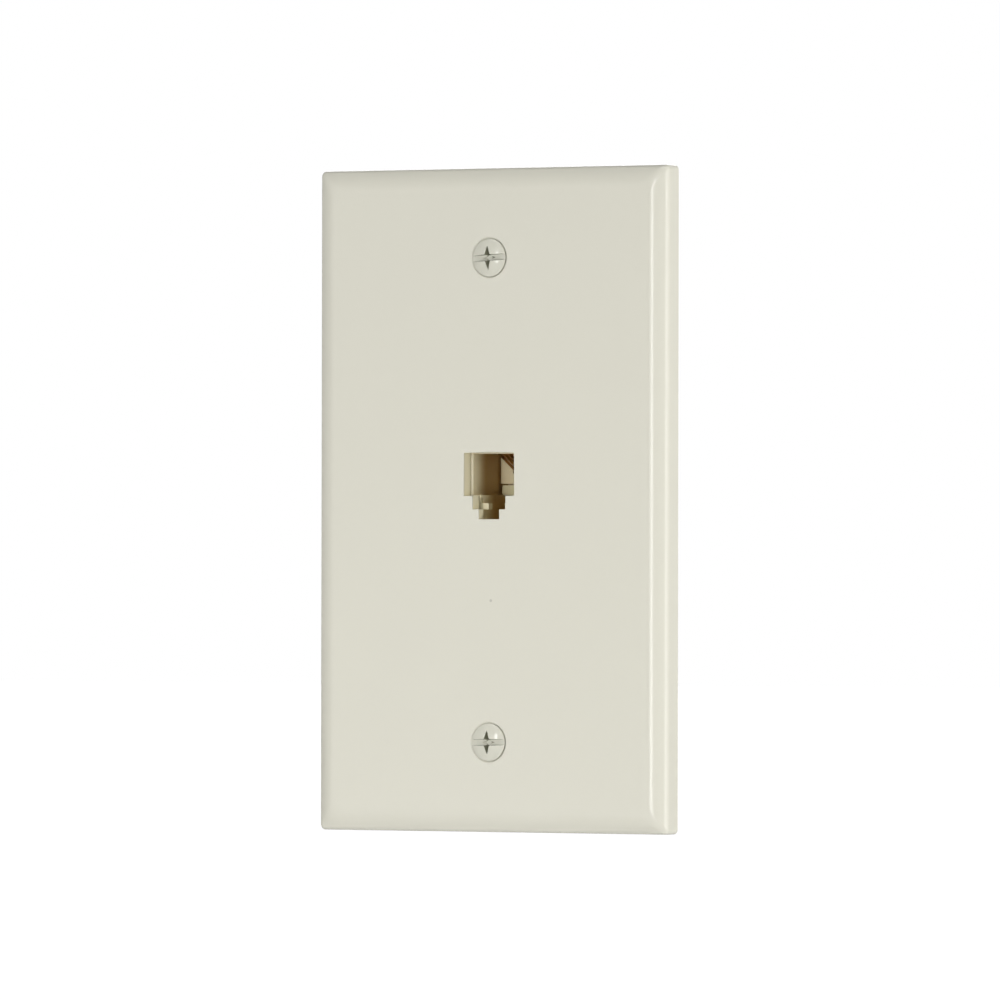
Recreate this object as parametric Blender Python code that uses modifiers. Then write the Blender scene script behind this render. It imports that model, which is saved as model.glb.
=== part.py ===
# Telephone wall socket: a bevelled one-gang plate, a modular jack fixed behind it and two oval-head screws.
# Metres, +Z up. X runs to the right seen from the front, the front faces -Y and +Y runs into the wall.
# The origin is the middle of the plate on the wall plane, where the plate's rim rests.

import math

import bmesh
import bpy
from mathutils import Matrix, Vector
from mathutils.geometry import interpolate_bezier

MM = 0.001

# Fits
SEAT_GAP = 0.3 * MM  # between pieces that rest on each other
SCREW_SEAT_GAP = 0.2 * MM  # round an oval head in its countersink
SPRING_GAP = 0.15 * MM  # beside a spring wire in its slot, and under the insert's foot
OVERLAP = 0.2 * MM  # how far shapes that are joined or cut reach into each other
MERGE = 0.000001

# Plate
PLATE_WIDTH = 69.85 * MM
PLATE_HEIGHT = 114.3 * MM
PLATE_DEPTH = 4.8 * MM
SIDE_WALL_HEIGHT = 3.5 * MM  # from the wall plane up to the bevel
BEVEL_ANGLE = math.radians(30)  # between the bevel and the face
SIDE_ROUND = 1.2 * MM
FACE_ROUND = 5.4 * MM
CORNER_RADIUS = 1.4 * MM
FACE_CORNER_RADIUS = 4.0 * MM
ROUND_STEPS = 5
FACE_WALL = 2.4 * MM
RIM_WALL = 1.8 * MM
HOLLOW_CORNER_RADIUS = 1.5 * MM
RIB_WIDTH = 1.2 * MM
RIB_HEIGHT = 1.3 * MM
RIB_INSET = 9.9 * MM  # from the plate's side to the middle of the rib
RIB_END_MARGIN = 12.0 * MM

# Mounting screws
SCREW_SPACING = 83.34 * MM
SCREW_LENGTH = 19.05 * MM  # from the head's rim to the tip
SCREW_SHANK_RADIUS = 1.75 * MM
SCREW_HEAD_RADIUS = 3.3 * MM
SCREW_HEAD_DOME = 0.95 * MM
SCREW_CONE_HALF_ANGLE = math.radians(41)
SCREW_TIP_TAPER = 0.7 * MM
SCREW_SLOT_WIDTH = 1.2 * MM
SCREW_SLOT_DEPTH = 0.35 * MM  # below the head's rim
SCREW_CROSS_SPAN = 4.2 * MM
SCREW_CROSS_FLOOR_SPAN = 1.4 * MM
SCREW_CROSS_WIDTH = 0.75 * MM
SCREW_CROSS_DEPTH = 1.6 * MM
SCREW_BOSS_WALL = 2.65 * MM
SCREW_BOSS_SETBACK = 0.3 * MM  # below the rim, so that the rim meets the wall first

# The plate's jack opening, as three steps from the top down
OPENING_TOP = 8.14 * MM
PLUG_HALF_WIDTH = 5.05 * MM
PLUG_FLOOR = 0.73 * MM
LATCH_HALF_WIDTH = 3.3 * MM
LATCH_FLOOR = -1.6 * MM
TAB_HALF_WIDTH = 2.05 * MM
TAB_FLOOR = -3.3 * MM

# The jack's own mouth behind it, where two ledges catch the plug's latch
JACK_STEP_IN = 0.15 * MM  # how much smaller than the plate's opening the plug space is
JACK_LATCH_FLOOR = -0.55 * MM
JACK_TAB_HALF_WIDTH = 1.65 * MM
LATCH_LEDGE_THICKNESS = 1.5 * MM
LATCH_DROP = 0.3 * MM  # how far the space behind the ledges goes below the plate's opening

# Jack body, with depths from its own front plane
FLANGE_THICKNESS = 2.2 * MM
FLANGE_MARGIN = 1.5 * MM  # beyond the posts
FLANGE_SIDE_MARGIN = 2.8 * MM  # beyond the stakes' axes
FLANGE_CORNER_RADIUS = 2.5 * MM
TOWER_WALL = 1.8 * MM
TOWER_FLOOR_WALL = 2.0 * MM
TOWER_ROOF_WALL = 1.5 * MM
TOWER_DEPTH = 12.6 * MM
TOWER_CORNER_RADIUS = 0.8 * MM
LATCH_SPACE_DEPTH = 10.1 * MM
LIP_THICKNESS = 2.3 * MM
POST_RADIUS = 4.0 * MM
POST_GAP = 0.1 * MM  # between the tower's side and a post's
POST_RISE = 2.3 * MM  # upper posts' axes above the tower's top
POST_DROP = 2.9 * MM  # lower posts' axes below the tower's bottom
WEB_WIDTH = 1.2 * MM
WEB_SETBACK = 3.0 * MM

# Contact insert: a ceiling over the plug space, and a comb and a foot that close it behind
INSERT_LEDGE = 0.7 * MM  # how far the insert's pocket reaches past the plug space on each side
INSERT_NOSE_DEPTH = 4.15 * MM
INSERT_CEILING_THICKNESS = 1.6 * MM
INSERT_BLOCK_LENGTH = 2.2 * MM
INSERT_BLOCK_HEIGHT = 3.1 * MM
COMB_DEPTH = 9.0 * MM
COMB_FOOT_HEIGHT = 1.6 * MM
COMB_FOOT_ROUND = 0.5 * MM
COMB_GROOVE_WIDTH = 0.25 * MM
COMB_GROOVE_DEPTH = 0.7 * MM
COMB_SLOT_DEPTH = 1.5 * MM
COMB_SLOT_HEAD = 0.7 * MM  # from the slots' upper ends to the ceiling

# Contact springs
CONTACT_COUNT = 4
CONTACT_PITCH = 1.02 * MM
CONTACT_RADIUS = 0.23 * MM
CONTACT_SLOPE = math.radians(27.5)
CONTACT_TIP_RISE = 2.1 * MM  # above the comb's groove
CONTACT_SOCKET_DEPTH = 1.3 * MM
CONTACT_ARC_STEPS = 10
NOSE_STEPS = 8  # in the half round that the springs bend over

# Terminals
TERMINAL_SHANK_RADIUS = 1.7 * MM
TERMINAL_SCREW_LENGTH = 9.5 * MM
TERMINAL_TIP_TAPER = 0.55 * MM
TERMINAL_HEAD_RADIUS = 3.6 * MM
TERMINAL_HEAD_HEIGHT = 2.2 * MM
TERMINAL_HEAD_DOME = 0.9 * MM
TERMINAL_SLOT_WIDTH = 1.1 * MM
TERMINAL_SLOT_DEPTH = 1.2 * MM
TERMINAL_SLOT_TURN = math.radians(35)  # each screw was left at another angle
WASHER_RADIUS = 3.8 * MM
WASHER_THICKNESS = 0.7 * MM
LUG_RADIUS = 3.6 * MM
LUG_THICKNESS = 0.7 * MM
LUG_TAIL_WIDTH = 2.4 * MM
UPPER_LUG_AIM = 3.3 * MM  # from the middle to the place that the upper tails point at
LOWER_LUG_AIM = 1.55 * MM
FORK_STEPS = 24
FORK_SLOT_STEPS = 12
BARREL_CLEARANCE = 1.6 * MM  # from the fork's outer edge to the barrel
BARREL_LENGTH = 4.0 * MM
BARREL_WALL = 0.35 * MM

# Leads
LEAD_RADIUS = 0.65 * MM
LEAD_SOCKET_WALL = 0.3 * MM
LEAD_SOCKET_DEPTH = 1.4 * MM
LEAD_INTO_BARREL = 2.6 * MM
LEAD_STRAIGHT = 0.9 * MM  # how far it runs straight out of the insert and out of the lug
LEAD_STEPS = 26

# Heat stakes that hold the jack to the plate
STAKE_OUT = 4.2 * MM  # beyond the posts' axes
STAKE_FROM_POST = 7.5 * MM  # above or below the posts' axes
STAKE_RADIUS = 1.2 * MM
STAKE_HEAD_RADIUS = 2.2 * MM
STAKE_HEAD_HEIGHT = 1.0 * MM
STAKE_HEAD_EDGE = 0.35 * MM  # the straight part of its side
STAKE_CROWN_RADIUS = 1.3 * MM
STAKE_CROWN_DROP = 0.15 * MM

# Derived places along Y
FACE_Y = -PLATE_DEPTH
PLATE_BACK_Y = FACE_Y + FACE_WALL
JACK_FRONT_Y = PLATE_BACK_Y + SEAT_GAP
FLANGE_REAR_Y = JACK_FRONT_Y + FLANGE_THICKNESS
LEDGE_REAR_Y = JACK_FRONT_Y + LATCH_LEDGE_THICKNESS
LIP_REAR_Y = JACK_FRONT_Y + LIP_THICKNESS
NOSE_Y = JACK_FRONT_Y + INSERT_NOSE_DEPTH
COMB_FRONT_Y = JACK_FRONT_Y + COMB_DEPTH
TOWER_REAR_Y = JACK_FRONT_Y + TOWER_DEPTH
INSERT_REAR_Y = TOWER_REAR_Y - SEAT_GAP
BLOCK_FRONT_Y = INSERT_REAR_Y - INSERT_BLOCK_LENGTH
LUG_Y = TOWER_REAR_Y + SEAT_GAP
WASHER_Y = LUG_Y + LUG_THICKNESS + SEAT_GAP
HEAD_Y = WASHER_Y + WASHER_THICKNESS + SEAT_GAP

# Derived heights
SPACE_FLOOR_Z = PLUG_FLOOR + JACK_STEP_IN
SPACE_CEILING_Z = OPENING_TOP - JACK_STEP_IN
LATCH_SPACE_FLOOR_Z = TAB_FLOOR - LATCH_DROP
INSERT_Z = SPACE_CEILING_Z + SEAT_GAP
INSERT_TOP_Z = INSERT_Z + INSERT_BLOCK_HEIGHT
FOOT_Z = SPACE_FLOOR_Z + SPRING_GAP
GROOVE_Z = FOOT_Z + COMB_FOOT_HEIGHT
COMB_Z = GROOVE_Z + COMB_GROOVE_WIDTH
CONTACT_TIP_Z = COMB_Z + CONTACT_TIP_RISE
TOWER_TOP_Z = INSERT_TOP_Z + SEAT_GAP + TOWER_ROOF_WALL
TOWER_BOTTOM_Z = LATCH_SPACE_FLOOR_Z - TOWER_FLOOR_WALL
UPPER_TERMINAL_Z = TOWER_TOP_Z + POST_RISE
LOWER_TERMINAL_Z = TOWER_BOTTOM_Z - POST_DROP
FLANGE_TOP_Z = UPPER_TERMINAL_Z + POST_RADIUS + FLANGE_MARGIN
FLANGE_BOTTOM_Z = LOWER_TERMINAL_Z - POST_RADIUS - FLANGE_MARGIN
STAKE_ZS = (UPPER_TERMINAL_Z - STAKE_FROM_POST, LOWER_TERMINAL_Z + STAKE_FROM_POST)
LEAD_Z = (COMB_Z + INSERT_Z) / 2

# Derived half widths
SPACE_X = PLUG_HALF_WIDTH - JACK_STEP_IN
LATCH_SPACE_X = LATCH_HALF_WIDTH - JACK_STEP_IN
COMB_X = SPACE_X - SEAT_GAP
POCKET_X = SPACE_X + INSERT_LEDGE
INSERT_X = POCKET_X - SEAT_GAP
TOWER_X = POCKET_X + TOWER_WALL
TERMINAL_X = TOWER_X + POST_GAP + POST_RADIUS
STAKE_X = TERMINAL_X + STAKE_OUT
FLANGE_X = STAKE_X + FLANGE_SIDE_MARGIN
RIB_X = PLATE_WIDTH / 2 - RIB_INSET
BARREL_START = LUG_RADIUS + BARREL_CLEARANCE
BARREL_RADIUS = LEAD_RADIUS + SEAT_GAP + BARREL_WALL
LEAD_PITCH = 2 * (LEAD_RADIUS + SEAT_GAP) + LEAD_SOCKET_WALL

SIDES = (-1, 1)
# From left to right the insert's sockets serve the upper left, lower left, lower right and upper right lugs.
LEADS = (
    ("black", (0.02, 0.02, 0.022), -1, UPPER_TERMINAL_Z),
    ("yellow", (0.80, 0.62, 0.05), -1, LOWER_TERMINAL_Z),
    ("green", (0.02, 0.28, 0.08), 1, LOWER_TERMINAL_Z),
    ("red", (0.60, 0.03, 0.03), 1, UPPER_TERMINAL_Z),
)

for old in list(bpy.data.objects):
    bpy.data.objects.remove(old, do_unlink=True)

parts = bpy.data.collections.new("telephone_wall_socket")
cutters = bpy.data.collections.new("cutters")
bpy.context.scene.collection.children.link(parts)
bpy.context.scene.collection.children.link(cutters)


def material(name, colour, roughness, metallic=0.0):
    made = bpy.data.materials.new(name)
    made.use_nodes = True
    shader = made.node_tree.nodes["Principled BSDF"]
    shader.inputs["Base Color"].default_value = (*colour, 1.0)
    shader.inputs["Roughness"].default_value = roughness
    shader.inputs["Metallic"].default_value = metallic
    return made


# Shape helpers. Each returns a mesh object in the cutters' collection until it is kept as a part.
def adopt(obj, name):
    for collection in list(obj.users_collection):
        collection.objects.unlink(obj)
    cutters.objects.link(obj)
    obj.name = name
    obj.hide_render = True
    obj.display_type = "WIRE"
    return obj


def baked(obj):
    """The object's evaluated shape as a plain mesh object with its loose caps welded."""
    bpy.context.view_layer.update()
    evaluated = obj.evaluated_get(bpy.context.evaluated_depsgraph_get())
    mesh = bpy.data.meshes.new_from_object(evaluated)
    welded = bmesh.new()
    welded.from_mesh(mesh)
    bmesh.ops.remove_doubles(welded, verts=welded.verts, dist=MERGE)
    welded.to_mesh(mesh)
    welded.free()
    made = bpy.data.objects.new(obj.name, mesh)
    made.matrix_world = obj.matrix_world
    bpy.data.objects.remove(obj, do_unlink=True)
    return adopt(made, made.name)


def box(name, x_span, y_span, z_span):
    spans = (x_span, y_span, z_span)
    centre = [(low + high) / 2 for low, high in spans]
    bpy.ops.mesh.primitive_cube_add(size=1, location=centre)
    made = bpy.context.object
    made.scale = [high - low for low, high in spans]
    bpy.ops.object.transform_apply(location=False, rotation=False, scale=True)
    return adopt(made, name)


def cylinder(name, radius, x, z, y_span, vertices=32):
    low, high = y_span
    bpy.ops.mesh.primitive_cylinder_add(
        vertices=vertices,
        radius=radius,
        depth=high - low,
        location=(x, (low + high) / 2, z),
        rotation=(math.pi / 2, 0, 0),
    )
    return adopt(bpy.context.object, name)


def flat_outline(name, points, thickness):
    """A closed outline in the XY plane, filled and extruded both ways along Z."""
    curve = bpy.data.curves.new(name, "CURVE")
    curve.dimensions = "2D"
    curve.fill_mode = "BOTH"
    curve.extrude = thickness / 2
    spline = curve.splines.new("POLY")
    spline.points.add(len(points) - 1)
    for point, (x, y) in zip(spline.points, points):
        point.co = (x, y, 0, 1)
    spline.use_cyclic_u = True
    made = bpy.data.objects.new(name, curve)
    cutters.objects.link(made)
    return baked(made)


def prism(name, points, y_span):
    """An outline drawn in X and Z, filled between two places along Y."""
    low, high = y_span
    made = flat_outline(name, points, high - low)
    made.rotation_euler = (math.pi / 2, 0, 0)
    made.location = (0, (low + high) / 2, 0)
    return made


def turned(name, profile, steps=32):
    """A profile of (radius, height) from top to bottom, turned about the object's Z axis."""
    mesh = bpy.data.meshes.new(name)
    points = [(radius, 0, height) for radius, height in profile]
    edges = [(i, i + 1) for i in range(len(points) - 1)]
    mesh.from_pydata(points, edges, [])
    made = bpy.data.objects.new(name, mesh)
    cutters.objects.link(made)
    screw = made.modifiers.new("Turn", "SCREW")
    screw.steps = steps
    screw.render_steps = steps
    screw.use_merge_vertices = True
    screw.merge_threshold = MERGE
    return baked(made)


def tube(name, points, radius, resolution=2):
    curve = bpy.data.curves.new(name, "CURVE")
    curve.dimensions = "3D"
    curve.bevel_depth = radius
    curve.bevel_resolution = resolution
    curve.use_fill_caps = True
    spline = curve.splines.new("POLY")
    spline.points.add(len(points) - 1)
    for point, place in zip(spline.points, points):
        point.co = (*place, 1)
    made = bpy.data.objects.new(name, curve)
    cutters.objects.link(made)
    return baked(made)


def rounded_rectangle(half_width, half_height, radius, steps=4, centre=(0, 0)):
    points = []
    for quarter in range(4):
        sign_x = 1 if quarter in (0, 3) else -1
        sign_y = 1 if quarter in (0, 1) else -1
        for step in range(steps + 1):
            angle = math.pi / 2 * (quarter + step / steps)
            x = sign_x * (half_width - radius) + radius * math.cos(angle)
            y = sign_y * (half_height - radius) + radius * math.sin(angle)
            points.append((centre[0] + x, centre[1] + y))
    return points


def boolean(obj, other, operation):
    modifier = obj.modifiers.new(other.name, "BOOLEAN")
    modifier.operation = operation
    modifier.solver = "EXACT"
    modifier.object = other


def cut(obj, *others):
    for other in others:
        boolean(obj, other, "DIFFERENCE")


def join(obj, *others):
    for other in others:
        boolean(obj, other, "UNION")


def keep(obj, name, finish, smooth_angle=35):
    """Makes a shape one of the parts, with its own material."""
    cutters.objects.unlink(obj)
    parts.objects.link(obj)
    obj.name = name
    obj.hide_render = False
    obj.display_type = "TEXTURED"
    obj.data.materials.clear()
    obj.data.materials.append(finish)
    obj.data.shade_smooth()
    obj.data.set_sharp_from_angle(angle=math.radians(smooth_angle))
    return obj


# Plate
def plate_profile():
    """(inset, depth) along the plate's edge, from the wall plane over both roundings to the face."""
    side_tangent = SIDE_ROUND * math.tan((math.pi / 2 - BEVEL_ANGLE) / 2)
    slope = (PLATE_DEPTH - SIDE_WALL_HEIGHT) / math.sin(BEVEL_ANGLE)
    face_round = min(FACE_ROUND, (slope - side_tangent - SEAT_GAP) / math.tan(BEVEL_ANGLE / 2))
    face_tangent = face_round * math.tan(BEVEL_ANGLE / 2)
    bevel_inset = slope * math.cos(BEVEL_ANGLE)
    stations = [(0, 0)]
    for step in range(ROUND_STEPS + 1):
        angle = (math.pi / 2 - BEVEL_ANGLE) * step / ROUND_STEPS
        inset = SIDE_ROUND * (1 - math.cos(angle))
        depth = SIDE_WALL_HEIGHT - side_tangent + SIDE_ROUND * math.sin(angle)
        stations.append((inset, depth))
    for step in range(ROUND_STEPS + 1):
        angle = BEVEL_ANGLE * (1 - step / ROUND_STEPS)
        inset = bevel_inset + face_tangent - face_round * math.sin(angle)
        depth = PLATE_DEPTH - face_round * (1 - math.cos(angle))
        stations.append((inset, depth))
    return stations


def plate_block():
    """The solid plate: one rounded rectangle for each station of the profile, bridged to the next."""
    mesh = bpy.data.meshes.new("wall_plate")
    loft = bmesh.new()
    rings = []
    profile = plate_profile()
    growth = (FACE_CORNER_RADIUS - CORNER_RADIUS) / profile[-1][0]
    for inset, depth in profile:
        radius = CORNER_RADIUS + growth * inset
        outline = rounded_rectangle(PLATE_WIDTH / 2 - inset, PLATE_HEIGHT / 2 - inset, radius)
        corners = [loft.verts.new((x, -depth, z)) for x, z in outline]
        edges = [loft.edges.new((a, b)) for a, b in zip(corners, corners[1:] + corners[:1])]
        rings.append((corners, edges))
    for (_, lower), (_, upper) in zip(rings, rings[1:]):
        bmesh.ops.bridge_loops(loft, edges=lower + upper)
    loft.faces.new(rings[0][0])
    loft.faces.new(rings[-1][0])
    bmesh.ops.recalc_face_normals(loft, faces=loft.faces)
    loft.to_mesh(mesh)
    loft.free()
    made = bpy.data.objects.new("wall_plate", mesh)
    cutters.objects.link(made)
    return made


def stepped_outline(top, steps):
    """A mouth that narrows downwards, with the half width and the floor of each step from the top down."""
    right = []
    ceiling = top
    for half, floor in steps:
        right += [(half, ceiling), (half, floor)]
        ceiling = floor
    return right + [(-x, z) for x, z in reversed(right)]


def cone_height():
    return (SCREW_HEAD_RADIUS - SCREW_SHANK_RADIUS) / math.tan(SCREW_CONE_HALF_ANGLE)


def countersink(name, z):
    shank = SCREW_SHANK_RADIUS + SCREW_SEAT_GAP
    mouth = SCREW_HEAD_RADIUS + SCREW_SEAT_GAP + OVERLAP * math.tan(SCREW_CONE_HALF_ANGLE)
    profile = [
        (0, OVERLAP),
        (mouth, OVERLAP),
        (shank, -cone_height()),
        (shank, -PLATE_DEPTH - OVERLAP),
        (0, -PLATE_DEPTH - OVERLAP),
    ]
    made = turned(name, profile)
    made.matrix_world = front_frame(z)
    return made


def front_frame(z):
    """Local Z points out of the plate's face, with its origin on the face."""
    return Matrix.Translation((0, FACE_Y, z)) @ Matrix.Rotation(math.pi / 2, 4, "X")


def stake(name, x, z):
    neck_end = FLANGE_REAR_Y + SEAT_GAP
    profile = [
        (0, neck_end + STAKE_HEAD_HEIGHT),
        (STAKE_CROWN_RADIUS, neck_end + STAKE_HEAD_HEIGHT - STAKE_CROWN_DROP),
        (STAKE_HEAD_RADIUS, neck_end + STAKE_HEAD_EDGE),
        (STAKE_HEAD_RADIUS, neck_end),
        (STAKE_RADIUS, neck_end),
        (STAKE_RADIUS, PLATE_BACK_Y - OVERLAP),
        (0, PLATE_BACK_Y - OVERLAP),
    ]
    made = turned(name, profile, steps=20)
    made.matrix_world = Matrix.Translation((x, 0, z)) @ Matrix.Rotation(-math.pi / 2, 4, "X")
    return made


def build_plate():
    plate = plate_block()
    rim_x = PLATE_WIDTH / 2 - RIM_WALL
    rim_z = PLATE_HEIGHT / 2 - RIM_WALL
    hollow = rounded_rectangle(rim_x, rim_z, HOLLOW_CORNER_RADIUS)
    cut(plate, prism("plate_hollow", hollow, (PLATE_BACK_Y, OVERLAP)))
    for side in SIDES:
        rib_x = (side * RIB_X - RIB_WIDTH / 2, side * RIB_X + RIB_WIDTH / 2)
        rib_z = PLATE_HEIGHT / 2 - RIB_END_MARGIN
        rib_y = (PLATE_BACK_Y - OVERLAP, PLATE_BACK_Y + RIB_HEIGHT)
        join(plate, box(f"rib_{side}", rib_x, rib_y, (-rib_z, rib_z)))
    for side in SIDES:
        z = side * SCREW_SPACING / 2
        boss_y = (PLATE_BACK_Y - OVERLAP, -SCREW_BOSS_SETBACK)
        radius = SCREW_SHANK_RADIUS + SCREW_SEAT_GAP + SCREW_BOSS_WALL
        join(plate, cylinder(f"screw_boss_{side}", radius, 0, z, boss_y))
    for side in SIDES:
        for row, z in enumerate(STAKE_ZS):
            join(plate, stake(f"stake_{side}_{row}", side * STAKE_X, z))
    for side in SIDES:
        cut(plate, countersink(f"screw_seat_{side}", side * SCREW_SPACING / 2))
    mouth_y = (FACE_Y - OVERLAP, PLATE_BACK_Y + OVERLAP)
    steps = (PLUG_HALF_WIDTH, PLUG_FLOOR), (LATCH_HALF_WIDTH, LATCH_FLOOR), (TAB_HALF_WIDTH, TAB_FLOOR)
    cut(plate, prism("plate_mouth", stepped_outline(OPENING_TOP, steps), mouth_y))
    finish = material("almond_plate", (0.69, 0.67, 0.58), 0.35)
    return keep(plate, "wall_plate", finish, 25)


# Jack body
def build_jack_body():
    middle = (FLANGE_TOP_Z + FLANGE_BOTTOM_Z) / 2
    half = (FLANGE_TOP_Z - FLANGE_BOTTOM_Z) / 2
    flange = rounded_rectangle(FLANGE_X, half, FLANGE_CORNER_RADIUS, centre=(0, middle))
    body = prism("flange", flange, (JACK_FRONT_Y, FLANGE_REAR_Y))
    base_y = FLANGE_REAR_Y - OVERLAP
    middle = (TOWER_TOP_Z + TOWER_BOTTOM_Z) / 2
    half = (TOWER_TOP_Z - TOWER_BOTTOM_Z) / 2
    tower = rounded_rectangle(TOWER_X, half, TOWER_CORNER_RADIUS, centre=(0, middle))
    join(body, prism("tower", tower, (base_y, TOWER_REAR_Y)))
    for colour, _, side, z in LEADS:
        post_y = (base_y, TOWER_REAR_Y)
        join(body, cylinder(f"post_{colour}", POST_RADIUS, side * TERMINAL_X, z, post_y))
        web_x = sorted((side * (TOWER_X - OVERLAP), side * TERMINAL_X))
        web_z = (TOWER_TOP_Z - WEB_WIDTH, TOWER_TOP_Z)
        if z < 0:
            web_z = (TOWER_BOTTOM_Z, TOWER_BOTTOM_Z + WEB_WIDTH)
        join(body, box(f"web_{colour}", web_x, (base_y, TOWER_REAR_Y - WEB_SETBACK), web_z))
    cut_spaces(body)
    for colour, _, side, z in LEADS:
        hole_y = (HEAD_Y - TERMINAL_SCREW_LENGTH - SEAT_GAP, TOWER_REAR_Y + OVERLAP)
        radius = TERMINAL_SHANK_RADIUS + SEAT_GAP
        cut(body, cylinder(f"terminal_hole_{colour}", radius, side * TERMINAL_X, z, hole_y, 24))
    for side in SIDES:
        for row, z in enumerate(STAKE_ZS):
            hole_y = (JACK_FRONT_Y - OVERLAP, FLANGE_REAR_Y + OVERLAP)
            radius = STAKE_RADIUS + SEAT_GAP
            cut(body, cylinder(f"stake_hole_{side}_{row}", radius, side * STAKE_X, z, hole_y, 20))
    finish = material("ivory_jack", (0.60, 0.52, 0.36), 0.4)
    return keep(body, "jack_body", finish)


def cut_spaces(body):
    """The mouth with its two latch ledges, the plug space, the latch space and the insert's pocket."""
    past_rear = TOWER_REAR_Y + OVERLAP
    inner_y = LEDGE_REAR_Y - OVERLAP
    steps = (
        (SPACE_X, SPACE_FLOOR_Z),
        (LATCH_SPACE_X, JACK_LATCH_FLOOR),
        (JACK_TAB_HALF_WIDTH, TAB_FLOOR - LATCH_DROP),
    )
    mouth = stepped_outline(SPACE_CEILING_Z, steps)
    cut(body, prism("jack_mouth", mouth, (JACK_FRONT_Y - OVERLAP, LEDGE_REAR_Y)))
    plug_x = (-SPACE_X, SPACE_X)
    cut(body, box("plug_space", plug_x, (inner_y, past_rear), (SPACE_FLOOR_Z, SPACE_CEILING_Z)))
    throat_z = (SPACE_CEILING_Z - OVERLAP, SPACE_CEILING_Z + OVERLAP)
    cut(body, box("throat", plug_x, (LIP_REAR_Y, past_rear), throat_z))
    latch_x = (-LATCH_SPACE_X, LATCH_SPACE_X)
    latch_y = (inner_y, JACK_FRONT_Y + LATCH_SPACE_DEPTH)
    cut(body, box("latch_space", latch_x, latch_y, (LATCH_SPACE_FLOOR_Z, SPACE_FLOOR_Z + OVERLAP)))
    pocket_z = (SPACE_CEILING_Z, INSERT_TOP_Z + SEAT_GAP)
    cut(body, box("insert_pocket", (-POCKET_X, POCKET_X), (LIP_REAR_Y, past_rear), pocket_z))


# Contact insert and springs
def spread(pitch):
    """Places along X for one item a contact, about the middle."""
    return [(i - (CONTACT_COUNT - 1) / 2) * pitch for i in range(CONTACT_COUNT)]


def contact_bend():
    """The springs' height over the ceiling, and the height and radius of their bend round its nose."""
    upper = INSERT_Z + INSERT_CEILING_THICKNESS + SEAT_GAP + CONTACT_RADIUS
    nose_z = INSERT_Z + INSERT_CEILING_THICKNESS / 2
    return upper, nose_z, upper - nose_z


def insert_ceiling():
    """The side view in Y and Z, from the rear block to the half-round nose, extruded to the full width."""
    _, nose_z, _ = contact_bend()
    nose_radius = INSERT_CEILING_THICKNESS / 2
    side_view = [
        (INSERT_REAR_Y, INSERT_Z),
        (INSERT_REAR_Y, INSERT_TOP_Z),
        (BLOCK_FRONT_Y, INSERT_TOP_Z),
        (BLOCK_FRONT_Y, INSERT_Z + INSERT_CEILING_THICKNESS),
    ]
    for step in range(NOSE_STEPS + 1):
        angle = math.pi / 2 + math.pi * step / NOSE_STEPS
        side_view.append((NOSE_Y + nose_radius * math.cos(angle), nose_z + nose_radius * math.sin(angle)))
    ceiling = flat_outline("insert_ceiling", side_view, 2 * INSERT_X)
    ceiling.matrix_world = Matrix(((0, 0, 1, 0), (1, 0, 0, 0), (0, 1, 0, 0), (0, 0, 0, 1)))
    return ceiling


def build_insert():
    insert = insert_ceiling()
    body_y = (COMB_FRONT_Y, INSERT_REAR_Y)
    join(insert, box("comb", (-COMB_X, COMB_X), body_y, (COMB_Z, INSERT_Z + OVERLAP)))
    foot_middle = (0, FOOT_Z + COMB_FOOT_HEIGHT / 2)
    foot = rounded_rectangle(COMB_X, COMB_FOOT_HEIGHT / 2, COMB_FOOT_ROUND, centre=foot_middle)
    join(insert, prism("comb_foot", foot, body_y))
    neck_x = COMB_X - COMB_FOOT_ROUND
    neck_y = (COMB_FRONT_Y + COMB_GROOVE_DEPTH, INSERT_REAR_Y)
    join(insert, box("comb_neck", (-neck_x, neck_x), neck_y, (GROOVE_Z - OVERLAP, COMB_Z + OVERLAP)))
    slot_half = CONTACT_RADIUS + SPRING_GAP
    slot_y = (COMB_FRONT_Y - OVERLAP, COMB_FRONT_Y + COMB_SLOT_DEPTH)
    slot_z = (CONTACT_TIP_Z - 3 * CONTACT_RADIUS, INSERT_Z - COMB_SLOT_HEAD)
    socket_y = (BLOCK_FRONT_Y - OVERLAP, BLOCK_FRONT_Y + CONTACT_SOCKET_DEPTH)
    for i, x in enumerate(spread(CONTACT_PITCH)):
        cut(insert, box(f"comb_slot_{i}", (x - slot_half, x + slot_half), slot_y, slot_z))
        cut(insert, cylinder(f"spring_socket_{i}", slot_half, x, contact_bend()[0], socket_y, 12))
    socket_y = (INSERT_REAR_Y - LEAD_SOCKET_DEPTH, INSERT_REAR_Y + OVERLAP)
    for i, x in enumerate(spread(LEAD_PITCH)):
        cut(insert, cylinder(f"lead_socket_{i}", LEAD_RADIUS + SEAT_GAP, x, LEAD_Z, socket_y, 20))
    finish = material("insert_ivory", (0.56, 0.48, 0.33), 0.45)
    return keep(insert, "contact_insert", finish)


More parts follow.
